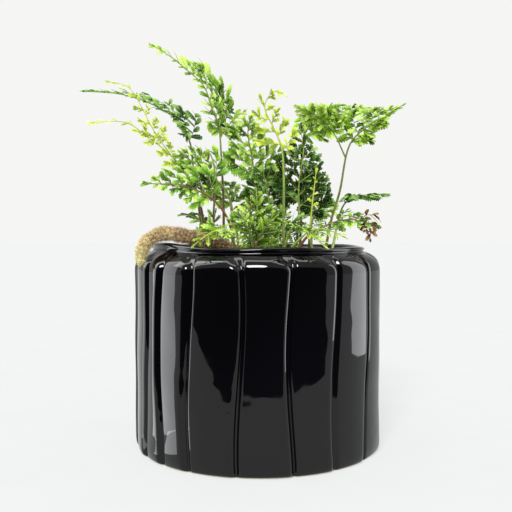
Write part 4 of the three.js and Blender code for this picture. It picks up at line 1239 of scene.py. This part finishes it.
def make_mix():
    """The bumpy bed of mix, closed below, with loose crumbs on it."""
    angles = np.linspace(0, 2 * math.pi, BED_COLUMNS, endpoint=False)
    rows = np.linspace(BED_MIDDLE[1], SOIL_RADIUS - BED_SINK, BED_ROWS)
    radii = np.array([BED_MIDDLE[0], *rows])[::-1, None]
    x, y = radii * np.cos(angles), radii * np.sin(angles)
    rough = 0.28 * np.sin(0.9 * x + 1.3 * np.sin(0.7 * y)) + 0.25 * np.sin(1.1 * y + np.sin(0.8 * x))
    grains = BED_GRAIN * np.random.default_rng(7).normal(size=x.shape)
    top = soil_top(x, y) - BED_SINK + rough + grains
    top[0] = np.minimum(top[0], SOIL_EDGE - 1)
    wall = SOIL_RADIUS * BED_FLARE
    rings = [np.stack([wall * np.cos(angles), wall * np.sin(angles), 0 * angles + height], axis=-1)
             for height in SOIL_FOOT]
    rings.append(np.stack([x, y, top], axis=-1).reshape(-1, 3))
    points, faces = closed_rings(np.concatenate(rings), BED_COLUMNS)
    bed = link("mix_bed", mesh_from("mix_bed", points, faces, (COMPOST,)))
    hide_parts("potting_mix")
    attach(bed, "root")
    values = {"Crumbs in a square metre": CRUMBS, "Smallest": CRUMB_SIZES[0] * MM,
              "Largest": CRUMB_SIZES[1] * MM, "Lowest": CRUMBS_ABOVE * MM, "Compost": COMPOST}
    crumbs = link("mix_crumbs", grown("mix_crumbs", bed.data.copy(), crumb_tree(), values))
    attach(crumbs, "root")


def crumb_tree():
    """Angular crumbs of compost, strewn over a surface."""
    tree = Tree("crumbs", {"Crumbs in a square metre": "Float", "Smallest": "Float", "Largest": "Float",
                           "Lowest": "Float", "Compost": "Material"})
    points = tree.scatter(11, tree.given["Crumbs in a square metre"])["Points"]
    lump = tree.node("GeometryNodeMeshIcoSphere", {"Radius": 1.0, "Subdivisions": 1}).outputs[0]
    angle = tree.random((-ANY_TURN,) * 3, (ANY_TURN,) * 3, 3)
    turned = tree.node("FunctionNodeEulerToRotation", {0: angle}).outputs[0]
    drawn = tree.math("POWER", tree.random(0.0, 1.0, 5), 3.0)
    span = tree.math("SUBTRACT", tree.given["Largest"], tree.given["Smallest"])
    size = tree.plus(tree.given["Smallest"], tree.times(drawn, span))
    squash = {0: tree.random(*CRUMB_SQUASH, 8), 3: size}
    scale = tree.node("ShaderNodeVectorMath", squash, operation="SCALE").outputs[0]
    crumbs = tree.tinted(tree.put(points, lump, turned, scale))
    tree.finish(crumbs, (tree.given["Compost"], True))
    return tree


# ---- Rhizome ---------------------------------------------------------------------------------------

# Each branch's middle line and its girth. The first creeps left over the rim and hangs outside.
RHIZOME_BRANCHES = (
    ([(8, -8, 92), (0, -16, 92), (-9, -25, 93.5), (-19, -31, 97.8), (-29, -33, 100.6),
      (-37, -30.5, 102.1), (-43.5, -27.5, 102.4), (-49, -29.4, 99.9), (-51.9, -31.6, 95),
      (-52.9, -33.2, 87.5)], 1.0),
    ([(28, 12, 91.5), (17, 5, 92), (6, -6, 92), (-6, -10, 92), (-20, -10, 91.5), (-33, -6, 90.3)], 0.95),
    ([(16, 4, 92), (19, -8, 91.6), (21, -20, 91), (24, -31, 90)], 0.85),
    ([(20, 7, 92), (23, 20, 91), (20, 33, 89.8)], 0.85),
    ([(4, -4, 92), (-4, 8, 91.8), (-9, 20, 91), (-13, 31, 90)], 0.85),
)


def rhizome_radius(girth, share):
    """The rhizome's lumpy girth, rounded at its growing tip and thinner at its old end."""
    lumps = 1 + 0.06 * np.sin(share * 40) + 0.05 * np.sin(share * 71 + 1)
    tip = np.sqrt(np.clip((1 - share) * 9, 0.0, 1))
    tail = np.minimum(1, 0.7 + share * 3)
    return (RHIZOME_RADIUS - FUR_ROOM) * girth * lumps * np.maximum(tip, 0.08) * tail


def tube_tree():
    """Round stems along the base mesh's edges."""
    tree = Tree("tubes", {"Sides": "Int", "Skin": "Material"})
    tree.finish(tree.tubes(), (tree.given["Skin"], True))
    return tree


def fur_tree():
    """Fine tapered hairs on a skin, tossed to all sides."""
    tree = Tree("fur", {"Hairs in a square metre": "Float", "Hair length": "Float",
                        "Hair girth": "Float", "Lowest": "Float", "Fur": "Material"})
    points = tree.scatter(23, tree.given["Hairs in a square metre"])
    cone = {"Vertices": 3, "Radius Bottom": 1.0, "Depth": 1.0}
    hair = tree.node("GeometryNodeMeshCone", cone, fill_type="NONE").outputs[0]
    ways = {0: points["Normal"], 1: tree.random((-HAIR_TOSS,) * 3, (HAIR_TOSS,) * 3, 4)}
    way = tree.node("ShaderNodeVectorMath", ways, operation="ADD").outputs[0]
    turned = tree.node("FunctionNodeAlignRotationToVector", {"Vector": way}, axis="Z").outputs[0]
    girth = tree.given["Hair girth"]
    long = tree.times(tree.given["Hair length"], tree.random(SHORTEST_HAIR, 1.0, 6))
    size = tree.node("ShaderNodeCombineXYZ", {"X": girth, "Y": girth, "Z": long}).outputs[0]
    hairs = tree.tinted(tree.put(points["Points"], hair, turned, size))
    tree.finish(hairs, (tree.given["Fur"], True))
    return tree


def make_rhizome():
    """The felted skin of all the branches, and the fur on it."""
    lines = []
    for knots, girth in RHIZOME_BRANCHES:
        points = curve_through(knots, 90)[0]
        share = np.linspace(0, 1, len(points))
        ripe = 1 - share if girth == 1.0 else 0 * share + 0.9
        lines.append((points, rhizome_radius(girth, share), ripe))
    skin_mesh = grown("rhizome_skin", line_mesh("rhizome_lines", lines, "ripe"), tube_tree(),
                      {"Sides": RHIZOME_SIDES, "Skin": FELT})
    values = {"Hairs in a square metre": HAIRS, "Hair length": HAIR_LENGTH * MM,
              "Hair girth": HAIR_GIRTH * MM, "Lowest": HAIRS_ABOVE * MM, "Fur": FUR}
    fur = link("rhizome_fur", grown("rhizome_fur", skin_mesh.copy(), fur_tree(), values))
    skin = link("rhizome_skin", skin_mesh)
    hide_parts("rhizome")
    for piece in (skin, fur):
        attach(piece, "root")


# ---- Loose roots -----------------------------------------------------------------------------------

# Where dry roots show: the middle of each tangle, how many roots it has and how far they stray.
TANGLES = (((19, -42), 15, 7.0), ((-24, -30), 9, 6.0), ((2, -33), 8, 7.0), ((30, -22), 7, 8.0),
           ((-5, 22), 12, 16.0))


def root_knots(middle, spread, dice):
    """A wandering line that starts near a tangle's middle and rises and sinks on the mix."""
    heading = dice.uniform(0, 2 * math.pi)
    place = np.array(middle) + dice.normal(0, spread * 0.35, 2)
    turn = dice.normal(0, 0.35)
    knots = []
    for step in range(ROOT_KNOTS):
        place = place * min(1.0, ROOT_REACH / max(1e-6, float(np.hypot(*place))))
        hop = ROOT_REST + ROOT_HOP * math.sin(math.pi * step / (ROOT_KNOTS - 1)) * dice.random()
        knots.append((*place, float(soil_top(*place)) - ROOT_SINK + hop))
        heading += turn + dice.normal(0, 0.4)
        place = place + ROOT_STEP * np.array([math.cos(heading), math.sin(heading)])
    return knots


def make_roots():
    """Tangles of thin dry roots that lie on the mix."""
    dice = np.random.default_rng(31)
    lines = []
    for middle, count, spread in TANGLES:
        for _ in range(count):
            points = curve_through(root_knots(middle, spread, dice), 22)[0]
            lines.append((points, np.linspace(*ROOT_GIRTHS, len(points)), np.ones(len(points))))
    roots = link("dry_roots", grown("dry_roots", line_mesh("root_lines", lines, "ripe"), tube_tree(),
                                    {"Sides": ROOT_SIDES, "Skin": ROOT}))
    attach(roots, "root")


# ---- Camera, floor and light -----------------------------------------------------------------------


def make_camera():
    """The camera in front of the pot, dipped a little."""
    data = bpy.data.cameras.new("camera")
    data.lens = LENS
    data.sensor_width = 36
    data.clip_start = 0.01
    data.clip_end = 50
    camera = link("camera", data)
    camera.location = [distance * MM for distance in CAMERA_PLACE]
    camera.rotation_euler = (math.radians(90 - CAMERA_DIP), 0, 0)
    bpy.context.scene.camera = camera


def make_world():
    """An even white room that looks brighter than what it sheds."""
    world = bpy.data.worlds.new("studio")
    world.use_nodes = True
    room = Nodes(world.node_tree)
    seen = room.node("ShaderNodeLightPath").outputs["Is Camera Ray"]
    level = room.node("ShaderNodeMapRange", {"Value": seen, "To Min": ROOM_LIGHT, "To Max": BACKDROP})
    background = world.node_tree.nodes["Background"].inputs
    room.feed(background["Color"], (1.0, 0.998, 0.99, 1))
    room.feed(background["Strength"], level.outputs["Result"])
    bpy.context.scene.world = world


def paper_finish():
    """Pale matt paper that sheds a little light of its own."""
    return grained("pale_paper", (30, 3), (0.3, (0.200, 0.206, 0.206)), (0.7, (0.210, 0.216, 0.214)),
                   Roughness=1.0, Specular_IOR_Level=0.0, Emission_Color=(0.985, 1, 0.995, 1),
                   Emission_Strength=0.605)


def card_finish():
    """Matt black card."""
    return grained("card_black", (5, 2), (0.3, (0.004, 0.004, 0.004)), (0.7, (0.010, 0.009, 0.010)),
                   Roughness=1.0)


def make_floor():
    """A wide flat floor, just below the pot's foot."""
    angles = np.linspace(0, 2 * math.pi, 64, endpoint=False)
    ring = np.stack([np.sin(angles), -np.cos(angles), 0 * angles], axis=-1) * FLOOR_RADIUS
    mesh = mesh_from("floor", ring - UP * FLOOR_DROP, [range(len(ring))], (paper_finish(),))
    link("floor", mesh)


def hide_from(thing, *rays):
    """Makes an object invisible to some kinds of light ray."""
    for ray in rays:
        setattr(thing, f"visible_{ray}", False)


def dark_card(name, corners):
    """A black studio card that shows only where something glossy mirrors it."""
    card = link(name, mesh_from(name, corners, [range(len(corners))], (card_finish(),)))
    hide_from(card, "camera", "diffuse", "transmission", "volume_scatter", "shadow")


def light_towards(name, kind, way, power):
    """A light that shines along a direction."""
    data = bpy.data.lights.new(name, kind)
    data.energy = power
    light = link(name, data)
    light.rotation_euler = Vector(way).to_track_quat("-Z", "Y").to_euler()
    return light


def mirrored_light(name, place, aim, size, power, colour=(1, 1, 1)):
    """A soft panel of light that shows only where something glossy mirrors it."""
    light = light_towards(name, "AREA", Vector(aim) - Vector(place), power)
    light.location = Vector(place) * MM
    light.data.shape = "RECTANGLE"
    light.data.size, light.data.size_y = (side * MM for side in size)
    light.data.color = colour
    hide_from(light, "camera", "diffuse", "transmission")


def soft_sun(name, way, strength, spread):
    """A wide, even light that travels along a direction."""
    light_towards(name, "SUN", way, strength).data.angle = math.radians(spread)


make_camera()
make_world()
make_floor()
dark_card("front_card", [(-262, -200, 0), (262, -200, 0), (262, -200, 200), (-720, -200, 200),
                         (-720, -200, 100)])
soft_sun("sun", (0.14, 0.74, -0.78), 3.8, 20)
mirrored_light("strip_left", (-90, -30, 150), (-45, -37, 150), (40, 300), 0.13, COOL)
mirrored_light("strip_left_foot", (-77, -40, 0.3), (-77, -40, 100), (34, 20), 0.0074, COOL)
mirrored_light("window_right", (320, 10, 200), (40, -38, 200), (150, 400), 0.8, COLD)
mirrored_light("softbox_top", (-40, 0, 600), (-40, 0, 90), (600, 120), 1.0)
mirrored_light("softbox_left", (-480, -60, 480), (0, 0, 90), (260, 420), 1.7)
bpy.context.scene.view_settings.view_transform = "Standard"

make_pot()
make_mix()
make_rhizome()
make_roots()
make_fronds()
